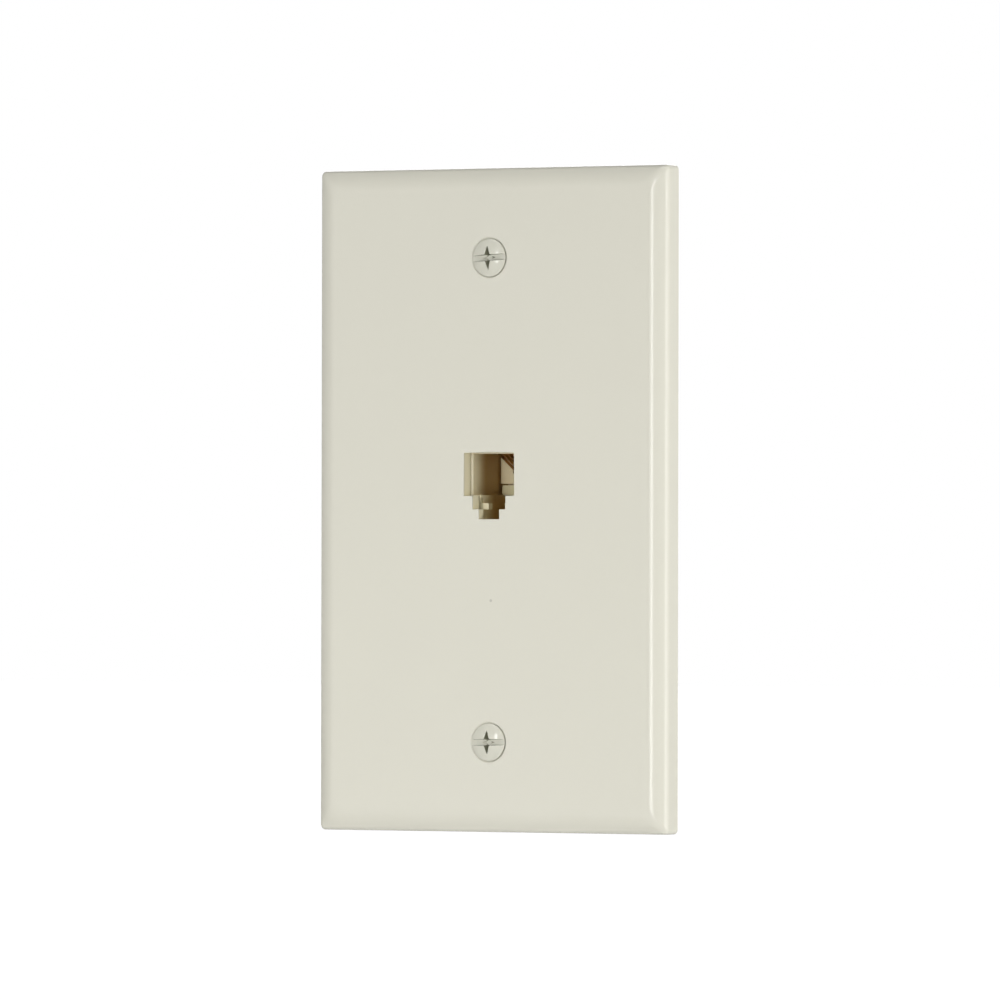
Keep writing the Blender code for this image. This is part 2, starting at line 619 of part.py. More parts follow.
def build_contacts():
    """Each spring lies on the ceiling, bends round its nose and slopes down into its slot of the comb."""
    upper, nose_z, bend = contact_bend()
    finish = material("gold_spring", (0.83, 0.58, 0.22), 0.25, 1.0)
    for i, x in enumerate(spread(CONTACT_PITCH)):
        points = [Vector((x, BLOCK_FRONT_Y + CONTACT_SOCKET_DEPTH - SEAT_GAP, upper))]
        for step in range(CONTACT_ARC_STEPS + 1):
            angle = (math.pi - CONTACT_SLOPE) * step / CONTACT_ARC_STEPS
            points.append(Vector((x, NOSE_Y - bend * math.sin(angle), nose_z + bend * math.cos(angle))))
        run = (points[-1].z - CONTACT_TIP_Z) / math.tan(CONTACT_SLOPE)
        points.append(Vector((x, points[-1].y + run, CONTACT_TIP_Z)))
        keep(tube(f"spring_{i}", points, CONTACT_RADIUS), f"contact_wire_{i + 1}", finish, 50)


# Terminals and leads
def rear_frame(x, z, y, angle=0.0):
    """Local Z points to the rear along +Y, and local X lies in the plate's plane at the angle from +X."""
    cos, sin = math.cos(angle), math.sin(angle)
    turn = Matrix(((cos, sin, 0, 0), (0, 0, 1, 0), (sin, -cos, 0, 0), (0, 0, 0, 1)))
    return Matrix.Translation((x, y, z)) @ turn


def lug_angle(side, z):
    """The lugs' tails point at the insert: the upper ones above its sockets and the lower ones below."""
    target_x = side * UPPER_LUG_AIM
    target_z = LEAD_Z + LUG_RADIUS
    if z < 0:
        target_x = side * LOWER_LUG_AIM
        target_z = LEAD_Z - LUG_RADIUS
    return math.atan2(target_z - z, target_x - side * TERMINAL_X)


def rod_along_x(name, radius, length, middle, height):
    bpy.ops.mesh.primitive_cylinder_add(vertices=20, radius=radius, depth=length)
    rod = adopt(bpy.context.object, name)
    rod.matrix_world = Matrix.Translation((middle, 0, height)) @ Matrix.Rotation(math.pi / 2, 4, "Y")
    return rod


def build_lug(colour, side, z, finish):
    """A fork round the screw, a flat tail and a rolled barrel that grips the lead."""
    slot = TERMINAL_SHANK_RADIUS + SEAT_GAP
    mouth = math.asin(slot / LUG_RADIUS)
    outline = []
    for step in range(FORK_STEPS + 1):
        angle = -math.pi + mouth + (2 * math.pi - 2 * mouth) * step / FORK_STEPS
        outline.append((LUG_RADIUS * math.cos(angle), LUG_RADIUS * math.sin(angle)))
    for step in range(FORK_SLOT_STEPS + 1):
        angle = math.pi / 2 - math.pi * step / FORK_SLOT_STEPS
        outline.append((slot * math.cos(angle), slot * math.sin(angle)))
    lug = flat_outline(f"fork_{colour}", outline, LUG_THICKNESS)
    half_tail = LUG_TAIL_WIDTH / 2
    half_thick = LUG_THICKNESS / 2
    tail_x = (LUG_RADIUS - 2 * OVERLAP, BARREL_START + BARREL_LENGTH)
    tail = box(f"tail_{colour}", tail_x, (-half_tail, half_tail), (-half_thick, half_thick))
    middle = BARREL_START + BARREL_LENGTH / 2
    height = BARREL_RADIUS - half_thick
    barrel = rod_along_x(f"barrel_{colour}", BARREL_RADIUS, BARREL_LENGTH, middle, height)
    bore = rod_along_x(f"bore_{colour}", LEAD_RADIUS + SEAT_GAP, 2 * BARREL_LENGTH, middle, height)
    join(lug, tail, barrel)
    cut(lug, bore)
    lug = baked(lug)
    lug.matrix_world = rear_frame(side * TERMINAL_X, z, LUG_Y + half_thick, lug_angle(side, z))
    return keep(lug, f"lug_{colour}", finish)


def build_terminal(number, side, z, steel):
    hole = TERMINAL_SHANK_RADIUS + SEAT_GAP
    ring = [(hole, WASHER_THICKNESS), (WASHER_RADIUS, WASHER_THICKNESS), (WASHER_RADIUS, 0), (hole, 0)]
    ring.append(ring[0])
    washer = turned(f"ring_{number}", ring, steps=28)
    washer.matrix_world = rear_frame(side * TERMINAL_X, z, WASHER_Y)
    keep(washer, f"terminal_washer_{number}", steel)
    top = TERMINAL_HEAD_HEIGHT
    profile = dome(TERMINAL_HEAD_RADIUS, top, TERMINAL_HEAD_DOME)
    profile.append((TERMINAL_HEAD_RADIUS, 0))
    profile.append((TERMINAL_SHANK_RADIUS, 0))
    profile.append((TERMINAL_SHANK_RADIUS, -TERMINAL_SCREW_LENGTH + TERMINAL_TIP_TAPER))
    profile.append((TERMINAL_SHANK_RADIUS - TERMINAL_TIP_TAPER, -TERMINAL_SCREW_LENGTH))
    profile.append((0, -TERMINAL_SCREW_LENGTH))
    screw = turned(f"pan_head_{number}", profile, steps=28)
    half = TERMINAL_SLOT_WIDTH / 2
    reach = TERMINAL_HEAD_RADIUS + OVERLAP
    slot_z = (top - TERMINAL_SLOT_DEPTH, top + OVERLAP)
    cut(screw, box(f"head_slot_{number}", (-reach, reach), (-half, half), slot_z))
    screw = baked(screw)
    screw.matrix_world = rear_frame(side * TERMINAL_X, z, HEAD_Y, TERMINAL_SLOT_TURN * number)
    keep(screw, f"terminal_screw_{number}", steel)


def dome(radius, top, height, steps=6):
    """A profile from the apex at top, down an arc, to the rim that lies height below it."""
    sphere = (radius**2 + height**2) / (2 * height)
    reach = math.asin(radius / sphere)
    points = [(0, top)]
    for step in range(1, steps + 1):
        angle = reach * step / steps
        points.append((sphere * math.sin(angle), top - sphere * (1 - math.cos(angle))))
    return points


def smooth_route(points, steps):
    """Places along a smooth curve through the points, which keeps the ends' own directions."""
    slopes = [points[1] - points[0]]
    slopes += [(after - before) / 2 for before, after in zip(points, points[2:])]
    slopes.append(points[-1] - points[-2])
    per_span = max(2, steps // (len(points) - 1))
    places = [points[0]]
    for start, end, leave, arrive in zip(points, points[1:], slopes, slopes[1:]):
        curve = interpolate_bezier(start, start + leave / 3, end - arrive / 3, end, per_span + 1)
        places += curve[1:]
    return places


def build_lead(index, colour, tint, side, z):
    """Out of its socket in the insert, over the tower's rear and into its lug's barrel."""
    x = spread(LEAD_PITCH)[index]
    angle = lug_angle(side, z)
    toward = Vector((math.cos(angle), 0, math.sin(angle)))
    axis_y = LUG_Y + BARREL_RADIUS
    mouth = Vector((side * TERMINAL_X, axis_y, z)) + toward * (BARREL_START + BARREL_LENGTH)
    start = Vector((x, INSERT_REAR_Y - LEAD_SOCKET_DEPTH + SEAT_GAP, LEAD_Z))
    leave = Vector((x, INSERT_REAR_Y + LEAD_STRAIGHT, LEAD_Z))
    near = mouth + toward * LEAD_STRAIGHT
    middle = (leave + near) / 2
    middle.y = axis_y + LEAD_RADIUS
    route = [start, leave, middle, near, mouth - toward * LEAD_INTO_BARREL]
    finish = material(f"insulation_{colour}", tint, 0.45)
    keep(tube(f"wire_{colour}", smooth_route(route, LEAD_STEPS), LEAD_RADIUS), f"lead_{colour}", finish, 50)


# Mounting screws
def cross_arm(name, turn):
    """One blade of the cross recess: wide at the head's top and narrow at its floor."""
    top = SCREW_HEAD_DOME + OVERLAP
    half, floor_half = SCREW_CROSS_SPAN / 2, SCREW_CROSS_FLOOR_SPAN / 2
    blade = [(-floor_half, -SCREW_CROSS_DEPTH), (floor_half, -SCREW_CROSS_DEPTH), (half, top), (-half, top)]
    arm = flat_outline(name, blade, SCREW_CROSS_WIDTH)
    arm.matrix_world = Matrix.Rotation(turn, 4, "Z") @ Matrix.Rotation(math.pi / 2, 4, "X")
    return arm


def build_mounting_screw(name, z, finish):
    profile = dome(SCREW_HEAD_RADIUS, SCREW_HEAD_DOME, SCREW_HEAD_DOME)
    profile.append((SCREW_SHANK_RADIUS, -cone_height()))
    profile.append((SCREW_SHANK_RADIUS, -SCREW_LENGTH + SCREW_TIP_TAPER))
    profile.append((SCREW_SHANK_RADIUS - SCREW_TIP_TAPER, -SCREW_LENGTH))
    profile.append((0, -SCREW_LENGTH))
    screw = turned(f"{name}_blank", profile)
    reach = SCREW_HEAD_RADIUS + OVERLAP
    half = SCREW_SLOT_WIDTH / 2
    slot_z = (-SCREW_SLOT_DEPTH, SCREW_HEAD_DOME + OVERLAP)
    cut(screw, box(f"{name}_slot", (-reach, reach), (-half, half), slot_z))
    cut(screw, cross_arm(f"{name}_arm_across", 0), cross_arm(f"{name}_arm_up", math.pi / 2))
    screw = baked(screw)
    screw.matrix_world = front_frame(z)
    return keep(screw, name, finish)


build_plate()
build_jack_body()
build_insert()
build_contacts()
nickel = material("nickel_terminal", (0.70, 0.69, 0.66), 0.3, 1.0)
tin = material("tinned_lug", (0.62, 0.61, 0.58), 0.35, 1.0)
for index, (colour, tint, side, z) in enumerate(LEADS):
    build_lug(colour, side, z, tin)
    build_terminal(index + 1, side, z, nickel)
    build_lead(index, colour, tint, side, z)
painted = material("painted_screw", (0.66, 0.64, 0.55), 0.35)
build_mounting_screw("mounting_screw_upper", SCREW_SPACING / 2, painted)
build_mounting_screw("mounting_screw_lower", -SCREW_SPACING / 2, painted)
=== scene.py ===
# %% [markdown]
# # A telephone wall socket
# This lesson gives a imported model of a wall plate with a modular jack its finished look. The model stays
# where it is, and each cell below models one piece more finely in the model's place, or gives a piece its
# finish. We start by loading the frame. It holds every piece at its real size, in metres, with +Z up and
# the front at -Y.

import math
from contextlib import contextmanager

import bmesh
import bpy
from mathutils import Matrix, Vector


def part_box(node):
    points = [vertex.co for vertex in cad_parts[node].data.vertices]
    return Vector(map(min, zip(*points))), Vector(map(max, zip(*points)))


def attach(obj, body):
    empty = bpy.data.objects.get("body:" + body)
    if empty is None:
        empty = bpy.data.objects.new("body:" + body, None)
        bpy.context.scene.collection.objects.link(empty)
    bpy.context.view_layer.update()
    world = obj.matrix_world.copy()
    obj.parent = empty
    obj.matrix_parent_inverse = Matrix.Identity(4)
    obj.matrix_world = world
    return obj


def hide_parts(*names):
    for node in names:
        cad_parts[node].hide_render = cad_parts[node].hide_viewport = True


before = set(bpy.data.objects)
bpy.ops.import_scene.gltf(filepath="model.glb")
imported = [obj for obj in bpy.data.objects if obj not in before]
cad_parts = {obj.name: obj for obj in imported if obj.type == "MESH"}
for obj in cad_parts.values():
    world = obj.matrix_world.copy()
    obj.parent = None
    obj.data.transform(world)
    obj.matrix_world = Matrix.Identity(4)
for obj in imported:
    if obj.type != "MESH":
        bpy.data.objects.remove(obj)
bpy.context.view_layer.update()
print("nodes in the frame:", len(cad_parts))

# %% [markdown]
# The camera comes first, because it says which side has to look best. The plate was photographed with a
# long lens, from its right and level with its middle, so upright edges stay upright and the rear side wall
# shows only at the right. A lens that long needs a camera almost two metres away.

# %% Camera
MM = 0.001
CAMERA_AZIMUTH = math.radians(31.13)
CAMERA_ELEVATION = math.radians(-0.4)
CAMERA_ROLL = math.radians(0.1)
CAMERA_DISTANCE = 1.92
CAMERA_LENS = 401.95
FRAME_CENTRE_RIGHT = 1.95 * MM  # the picture's middle lies this far to the right of the plate's

plate_low, plate_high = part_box("wall_plate")
FACE_Y = plate_low.y


def outward(azimuth, elevation):
    """The direction away from the plate, turned from its front to its right and then raised."""
    level = math.cos(elevation)
    return Vector((math.sin(azimuth) * level, -math.cos(azimuth) * level, math.sin(elevation)))


toward_camera = outward(CAMERA_AZIMUTH, CAMERA_ELEVATION)
camera_right = Vector((math.cos(CAMERA_AZIMUTH), math.sin(CAMERA_AZIMUTH), 0))
picture_middle = Vector((0, FACE_Y, 0)) + camera_right * FRAME_CENTRE_RIGHT
bpy.ops.object.camera_add(location=picture_middle + toward_camera * CAMERA_DISTANCE)
camera = bpy.context.object
camera.name = "camera"
camera.data.lens = CAMERA_LENS
camera.data.clip_start = 0.1
camera.data.clip_end = 100
camera.rotation_mode = "QUATERNION"
turn = (-toward_camera).to_track_quat("-Z", "Y")
camera.rotation_quaternion = turn @ Matrix.Rotation(CAMERA_ROLL, 3, "Z").to_quaternion()
bpy.context.scene.camera = camera
print("camera at", [round(x, 3) for x in camera.location])

# %% [markdown]
# A few helpers keep the modelling short. An operator acts on all that is selected, so everything is
# deselected before a primitive is added. The new primitive has its place applied to its mesh, so that its
# object stays at the origin, unturned. Two shapes start nearly everything here: a block between two planes
# on each axis, and a round rod along Y, which is the plate's depth.

# %% Helpers for primitives


def deselect():
    bpy.ops.object.select_all(action="DESELECT")


def activate(obj):
    deselect()
    obj.select_set(True)
    bpy.context.view_layer.objects.active = obj


def settle(obj, name):
    """Puts the object's place into its mesh."""
    activate(obj)
    bpy.ops.object.transform_apply(location=True, rotation=True, scale=True)
    obj.name = name
    return obj


def discard(obj):
    bpy.data.objects.remove(obj, do_unlink=True)


def both_ways(half):
    """The span from -half to half."""
    return (-half, half)


def block(name, x_span, y_span, z_span):
    spans = (x_span, y_span, z_span)
    middle = [(low + high) / 2 for low, high in spans]
    size = [high - low for low, high in spans]
    deselect()
    bpy.ops.mesh.primitive_cube_add(size=1, location=middle, scale=size)
    return settle(bpy.context.object, name)


def rod(name, radius, x, z, y_span, end_radius=None, vertices=64):
    """A round bar along Y. With another radius at its far end it is a cone."""
    near, far = y_span
    deselect()
    bpy.ops.mesh.primitive_cone_add(
        vertices=vertices,
        radius1=radius,
        radius2=radius if end_radius is None else end_radius,
        depth=far - near,
        location=(x, (near + far) / 2, z),
        rotation=(-math.pi / 2, 0, 0),
    )
    return settle(bpy.context.object, name)


def disc(name, radius, place, vertices):
    """A flat round face that looks along Y."""
    deselect()
    bpy.ops.mesh.primitive_circle_add(
        vertices=vertices,
        radius=radius,
        fill_type="NGON",
        location=place,
        rotation=(math.pi / 2, 0, 0),
    )
    return settle(bpy.context.object, name)


# %% [markdown]
# In edit mode, edges are picked by their place, the way one would click on them, and then beveled or
# extruded. These helpers name the operators that come back again and again.

# %% Helpers for edit mode
SMALL = 0.001 * MM
ALONG = 0.999  # an edge runs along an axis when this much of its length does


@contextmanager
def editing(obj):
    activate(obj)
    bpy.ops.object.mode_set(mode="EDIT")
    yield obj
    bpy.ops.object.mode_set(mode="OBJECT")


def pick_edges(obj, test):
    """Selects the edges that pass the test, and counts them."""
    bpy.ops.mesh.select_mode(type="EDGE")
    bpy.ops.mesh.select_all(action="DESELECT")
    mesh = bmesh.from_edit_mesh(obj.data)
    chosen = [edge for edge in mesh.edges if test(edge)]
    for edge in chosen:
        edge.select_set(True)
    bmesh.update_edit_mesh(obj.data)
    return len(chosen)


def pick(obj, test):
    """Selects the edges whose two corners both pass the test, and counts them."""
    return pick_edges(obj, lambda edge: all(test(corner.co) for corner in edge.verts))


def run_of(edge):
    return edge.verts[1].co - edge.verts[0].co


def meets(place, plane):
    return abs(place - plane) < SMALL


def bevel(width, segments):
    bpy.ops.mesh.bevel(offset=width, segments=segments, affect="EDGES")


def extrude(*move):
    bpy.ops.mesh.extrude_region_move(TRANSFORM_OT_translate={"value": move})


def merge_doubles(reach=SMALL):
    bpy.ops.mesh.select_all(action="SELECT")
    bpy.ops.mesh.remove_doubles(threshold=reach)


def face_outwards():
    bpy.ops.mesh.select_all(action="SELECT")
    bpy.ops.mesh.normals_make_consistent(inside=False)


def round_edges(obj, axis, radius, segments=8):
    """Rounds the edges of a block that run along one axis."""
    with editing(obj):
        pick_edges(obj, lambda edge: abs(run_of(edge)[axis]) > ALONG * run_of(edge).length)
        bevel(radius, segments)
    return obj


# %% [markdown]
# Modifiers are applied as soon as they are set. Booleans join and cut, and the last steps of every moulded
# piece are always the same: clean flats, softly rounded edges, and shading that keeps large faces flat.

# %% Helpers for whole pieces
SAME_FLAT = math.radians(0.5)
SLIVER = 0.1 * SMALL


def apply_modifier(obj, kind, **settings):
    activate(obj)
    modifier = obj.modifiers.new(kind.lower(), kind)
    for key, value in settings.items():
        setattr(modifier, key, value)
    bpy.ops.object.modifier_apply(modifier=modifier.name)
    return obj


def combine(obj, operation, tools):
    for tool in tools:
        apply_modifier(obj, "BOOLEAN", operation=operation, solver="EXACT", object=tool)
        discard(tool)
    return obj


def cut(obj, *tools):
    return combine(obj, "DIFFERENCE", tools)


def join(obj, *tools):
    return combine(obj, "UNION", tools)


def clean(obj):
    """Merges doubles and turns loose triangles on a flat back into whole faces."""
    with editing(obj):
        merge_doubles()
        bpy.ops.mesh.dissolve_limited(angle_limit=SAME_FLAT)
    return obj


def weld(obj):
    """Merges what a bevel has left in one place, and dissolves faces without area."""
    with editing(obj):
        merge_doubles(SLIVER)
        bpy.ops.mesh.dissolve_degenerate(threshold=SLIVER)
    return obj


def shade(obj, angle=35):
    """Smooth where the faces meet at less than this angle, in degrees."""
    activate(obj)
    bpy.ops.object.shade_smooth_by_angle(angle=math.radians(angle))
    apply_modifier(obj, "WEIGHTED_NORMAL", keep_sharp=True, weight=50)
    return obj


def soften(obj, width, segments=2, angle=40):
    """Rounds every edge sharper than this angle a little, as a mould does."""
    clean(obj)
    apply_modifier(
        obj,
        "BEVEL",
        width=width,
        segments=segments,
        limit_method="ANGLE",
        angle_limit=math.radians(angle),
        use_clamp_overlap=True,
    )
    return shade(weld(obj))


def seat(obj, slot, *nodes):
    """The finished piece rides on the one body and stands for its nodes."""
    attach(obj, "root")
    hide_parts(*nodes)
    print(obj.name, len(obj.data.vertices), "vertices")
    return obj


# %% [markdown]
# The wall plate is one moulding. Its rim wall stands straight up from the wall, then a bevel runs up to the
# flat face. Both edges are rounded, and the corners grow rounder towards the face. We could bevel a box,
# but the bevel operator can't grow a corner, so we lay one rounded rectangle for each step of the edge's
# outline and bridge them.

# %% Plate sizes
SIDE_WALL = 3.5 * MM
BEVEL_ANGLE = math.radians(30)
SIDE_ROUND = 1.2 * MM
FACE_ROUND = 5.4 * MM
OUTER_CORNER = 0.8 * MM
FACE_CORNER = 2.0 * MM
FACE_WALL = 2.4 * MM
RIM_WALL = 1.8 * MM
EDGE_STEPS = 12
CORNER_STEPS = 10
PLATE_BACK_Y = FACE_Y + FACE_WALL

plate_width = plate_high.x - plate_low.x
plate_height = plate_high.z - plate_low.z
plate_depth = -FACE_Y


def edge_outline():
    """(inset, depth) from the wall, up the side, over both roundings, to the edge of the face."""
    slope = (plate_depth - SIDE_WALL) / math.sin(BEVEL_ANGLE)
    side_tangent = SIDE_ROUND * math.tan((math.pi / 2 - BEVEL_ANGLE) / 2)
    face_tangent = FACE_ROUND * math.tan(BEVEL_ANGLE / 2)
    outline = [(0, 0)]
    for step in range(EDGE_STEPS + 1):
        angle = (math.pi / 2 - BEVEL_ANGLE) * step / EDGE_STEPS
        inset = SIDE_ROUND * (1 - math.cos(angle))
        outline.append((inset, SIDE_WALL - side_tangent + SIDE_ROUND * math.sin(angle)))
    for step in range(EDGE_STEPS + 1):
        angle = BEVEL_ANGLE * (1 - step / EDGE_STEPS)
        inset = slope * math.cos(BEVEL_ANGLE) + face_tangent - FACE_ROUND * math.sin(angle)
        outline.append((inset, plate_depth - FACE_ROUND * (1 - math.cos(angle))))
    return outline


outline = edge_outline()
print("steps in the edge's outline:", len(outline))

# %% Plate body


def rounded_ring(inset, depth, corner):
    """A plane with its four corners rounded, from which only the rim is kept."""
    deselect()
    bpy.ops.mesh.primitive_plane_add(size=1, location=(0, -depth, 0), rotation=(math.pi / 2, 0, 0))
    ring = bpy.context.object
    ring.scale = (plate_width - 2 * inset, plate_height - 2 * inset, 1)
    settle(ring, "ring")
    with editing(ring):
        bpy.ops.mesh.select_all(action="SELECT")
        bpy.ops.mesh.bevel(offset=corner, segments=CORNER_STEPS, affect="VERTICES")
        bpy.ops.mesh.delete(type="ONLY_FACE")
    return ring


growth = (FACE_CORNER - OUTER_CORNER) / outline[-1][0]
rings = [rounded_ring(inset, depth, OUTER_CORNER + growth * inset) for inset, depth in outline]
activate(rings[0])
for ring in rings:
    ring.select_set(True)
bpy.ops.object.join()
plate = bpy.context.object
plate.name = "plate"
with editing(plate):
    bpy.ops.mesh.select_all(action="SELECT")
    bpy.ops.mesh.bridge_edge_loops()
    for y in (0, FACE_Y):
        pick(plate, lambda corner: meets(corner.y, y))
        bpy.ops.mesh.edge_face_add()
    face_outwards()
print("plate body", [round(x * 1000, 2) for x in plate.dimensions])

# %% [markdown]
# Behind, the plate is hollow: a rim wall runs round it, two long ribs stiffen it, and a boss stands behind
# each screw. The bosses are cones, because a moulding needs a little draft to leave its mould. Four stakes
# of the same plastic go through the jack's flange, and their ends are melted over it into low round heads.

# %% Plate rear
RIB_X = plate_width / 2 - 9.9 * MM
RIB_WIDTH = 1.2 * MM
RIB_HEIGHT = 1.3 * MM
RIB_END = 12 * MM
RIB_ROUND = 0.3 * MM
HOLLOW_CORNER = 1.5 * MM
INTO = 0.2 * MM  # how far a tool reaches past the surface it works on
SCREW_Z = 83.34 * MM / 2
BOSS_RADIUS = 4.6 * MM
BOSS_DRAFT = 0.25 * MM
BOSS_SETBACK = 0.3 * MM
STAKE_RADIUS = 1.2 * MM
STAKE_HEAD_RADIUS = 2.2 * MM
STAKE_HEAD_HEIGHT = 1.0 * MM
STAKE_HEAD_ROUND = 0.6 * MM
SEAT_GAP = 0.3 * MM  # the play between pieces that are put together

jack_low, jack_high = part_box("jack_body")
FLANGE_REAR_Y = jack_low.y + 2.2 * MM
STAKE_X = jack_high.x - 2.8 * MM
STAKE_ZS = (jack_high.z - 13 * MM, jack_low.z + 13 * MM)


def stake(x, z):
    """A pin with a head that was melted round."""
    low, high = FLANGE_REAR_Y + SEAT_GAP, FLANGE_REAR_Y + SEAT_GAP + STAKE_HEAD_HEIGHT
    head = rod("stake_head", STAKE_HEAD_RADIUS, x, z, (low, high), vertices=40)
    with editing(head):
        pick(head, lambda corner: corner.y > high - SMALL)
        bevel(STAKE_HEAD_ROUND, 6)
    return join(head, rod("stake_pin", STAKE_RADIUS, x, z, (PLATE_BACK_Y - INTO, low + INTO), vertices=40))


hollow = block(
    "hollow",
    (plate_low.x + RIM_WALL, plate_high.x - RIM_WALL),
    (PLATE_BACK_Y, INTO),
    (plate_low.z + RIM_WALL, plate_high.z - RIM_WALL),
)
cut(plate, round_edges(hollow, 1, HOLLOW_CORNER))
for side in (-1, 1):
    rib = block(
        "rib",
        (side * RIB_X - RIB_WIDTH / 2, side * RIB_X + RIB_WIDTH / 2),
        (PLATE_BACK_Y - INTO, PLATE_BACK_Y + RIB_HEIGHT),
        (plate_low.z + RIB_END, plate_high.z - RIB_END),
    )
    boss_y = (PLATE_BACK_Y - INTO, -BOSS_SETBACK)
    boss = rod("boss", BOSS_RADIUS, 0, side * SCREW_Z, boss_y, BOSS_RADIUS - BOSS_DRAFT)
    join(plate, round_edges(rib, 2, RIB_ROUND, 3), boss)
    for z in STAKE_ZS:
        join(plate, stake(side * STAKE_X, z))
print("plate with its rear", len(plate.data.polygons), "faces")

# %% [markdown]
# Three cuts open the front: two countersinks for the screws' oval heads, and the jack's mouth, which steps
# in twice towards its foot. The steps guide the plug's latch, and behind the narrowest one the wall is
# thinner. The edges of a moulded opening are never knife-sharp, so their rims are picked on the face and
# get a tiny bevel, which catches the light. The mouth's upper rim is the softest.

# %% Plate openings
SINK_RADIUS = 3.55 * MM
HOLE_RADIUS = 1.95 * MM
CONE_HALF_ANGLE = math.radians(41)
CONE_RUN = (3.3 - 1.75) * MM  # from the cone's radius under the screw's head to the shank's
CONE_DEPTH = CONE_RUN / math.tan(CONE_HALF_ANGLE)
OPENING_TOP = 8.14 * MM
MOUTH_STEPS = (  # half the width of each step, and its floor
    (5.05 * MM, 0.73 * MM),
    (3.3 * MM, -1.6 * MM),
    (2.05 * MM, -3.3 * MM),
)
RIM_BEVEL = 0.1 * MM
TOP_RIM_BEVEL = 0.28 * MM
THIN_WALL = 1.5 * MM
RELIEF_HALF = 2.9 * MM
RELIEF_DROP = 0.7 * MM
AT_MOUTH_X = 5.2 * MM  # on the face, a corner this near to an opening is on its rim
AT_MOUTH_ZS = (-3.5 * MM, 8.4 * MM)
AT_SCREW = 4 * MM

for z in both_ways(SCREW_Z):
    flare = INTO * math.tan(CONE_HALF_ANGLE)
    sink = rod("sink", SINK_RADIUS + flare, 0, z, (FACE_Y - INTO, FACE_Y + CONE_DEPTH), HOLE_RADIUS, 96)
    cut(plate, sink, rod("hole", HOLE_RADIUS, 0, z, (FACE_Y + CONE_DEPTH - INTO, INTO), vertices=96))
for half, floor in MOUTH_STEPS:
    cut(plate, block("mouth", both_ways(half), (FACE_Y - INTO, PLATE_BACK_Y + INTO), (floor, OPENING_TOP)))
relief_y = (FACE_Y + THIN_WALL, PLATE_BACK_Y + INTO)
relief_z = (MOUTH_STEPS[2][1] - RELIEF_DROP, MOUTH_STEPS[1][1])
cut(plate, block("relief", both_ways(RELIEF_HALF), relief_y, relief_z))


def on_mouth_top(corner):
    at_top = meets(corner.z, OPENING_TOP) and abs(corner.x) < AT_MOUTH_X
    return meets(corner.y, FACE_Y) and at_top


def on_an_opening(corner):
    """On the face, and on the rim of the mouth or of a countersink."""
    at_mouth = abs(corner.x) < AT_MOUTH_X and AT_MOUTH_ZS[0] < corner.z < AT_MOUTH_ZS[1]
    at_screw = math.hypot(corner.x, abs(corner.z) - SCREW_Z) < AT_SCREW
    return meets(corner.y, FACE_Y) and (at_mouth or at_screw)


clean(plate)
with editing(plate):
    pick(plate, on_mouth_top)
    bevel(TOP_RIM_BEVEL, 4)
    print("edges round the openings:", pick(plate, on_an_opening))
    bevel(RIM_BEVEL, 3)
shade(weld(plate))
seat(plate, "almond_plate", "wall_plate")

# %% [markdown]
# The jack's body is a second moulding in a warmer ivory. A flange lies against the plate's back, a square
# tower holds the plug's space, and four round posts carry the terminals. It starts as blocks and rods that
# are joined, then the plug's space, the latch's ledges and the pocket for the contacts are cut out of it.

# %% Jack sizes
JACK_FRONT_Y = jack_low.y
TOWER_REAR_Y = jack_high.y
FLANGE_CORNER = 2.5 * MM
TOWER_HALF = 7.4 * MM
TOWER_TOP = 13.19 * MM
TOWER_BOTTOM = -5.6 * MM
TOWER_CORNER = 0.8 * MM
POST_RADIUS = 4.0 * MM
TERMINAL_X = TOWER_HALF + 0.1 * MM + POST_RADIUS
TERMINAL_ZS = (jack_high.z - 5.5 * MM, jack_low.z + 5.5 * MM)
TERMINAL_HOLE_RADIUS = 2.0 * MM
WEB_WIDTH = 1.2 * MM
WEB_SETBACK = 3.0 * MM
STEP_IN = 0.15 * MM
LEDGE_REAR_Y = JACK_FRONT_Y + 1.5 * MM
LIP_REAR_Y = JACK_FRONT_Y + 2.3 * MM
LATCH_REAR_Y = JACK_FRONT_Y + 10.1 * MM
HOLE_FLOOR_Y = 2.6 * MM
SPACE_HALF = MOUTH_STEPS[0][0] - STEP_IN
LATCH_HALF = MOUTH_STEPS[1][0] - STEP_IN
TAB_HALF = 1.65 * MM
WIDE_TAB_HALF = 2.75 * MM
LEDGE_FOOT = -1.6 * MM
SPACE_FLOOR = MOUTH_STEPS[0][1] + STEP_IN
LATCH_FLOOR = -0.55 * MM
DEEP_FLOOR = -3.6 * MM
SPACE_CEILING = OPENING_TOP - STEP_IN
POCKET_HALF = SPACE_HALF + 0.7 * MM
POCKET_TOP = 11.69 * MM
MOULD_EDGE = 0.1 * MM
MOUTH_ROUND = 0.4 * MM

# %% Jack body
flange_x = (jack_low.x, jack_high.x)
flange_z = (jack_low.z, jack_high.z)
flange = block("jack", flange_x, (JACK_FRONT_Y, FLANGE_REAR_Y), flange_z)
jack = round_edges(flange, 1, FLANGE_CORNER)
behind_flange = (FLANGE_REAR_Y - INTO, TOWER_REAR_Y)
tower = block("tower", both_ways(TOWER_HALF), behind_flange, (TOWER_BOTTOM, TOWER_TOP))
join(jack, round_edges(tower, 1, TOWER_CORNER))
for side in (-1, 1):
    for z in TERMINAL_ZS:
        post = rod("post", POST_RADIUS, side * TERMINAL_X, z, behind_flange)
        web_x = sorted((side * (TOWER_HALF - INTO), side * TERMINAL_X))
        web_y = (FLANGE_REAR_Y - INTO, TOWER_REAR_Y - WEB_SETBACK)
        web_z = (TOWER_TOP - WEB_WIDTH, TOWER_TOP) if z > 0 else (TOWER_BOTTOM, TOWER_BOTTOM + WEB_WIDTH)
        join(jack, post, block("web", web_x, web_y, web_z))
print("jack body", len(jack.data.polygons), "faces")

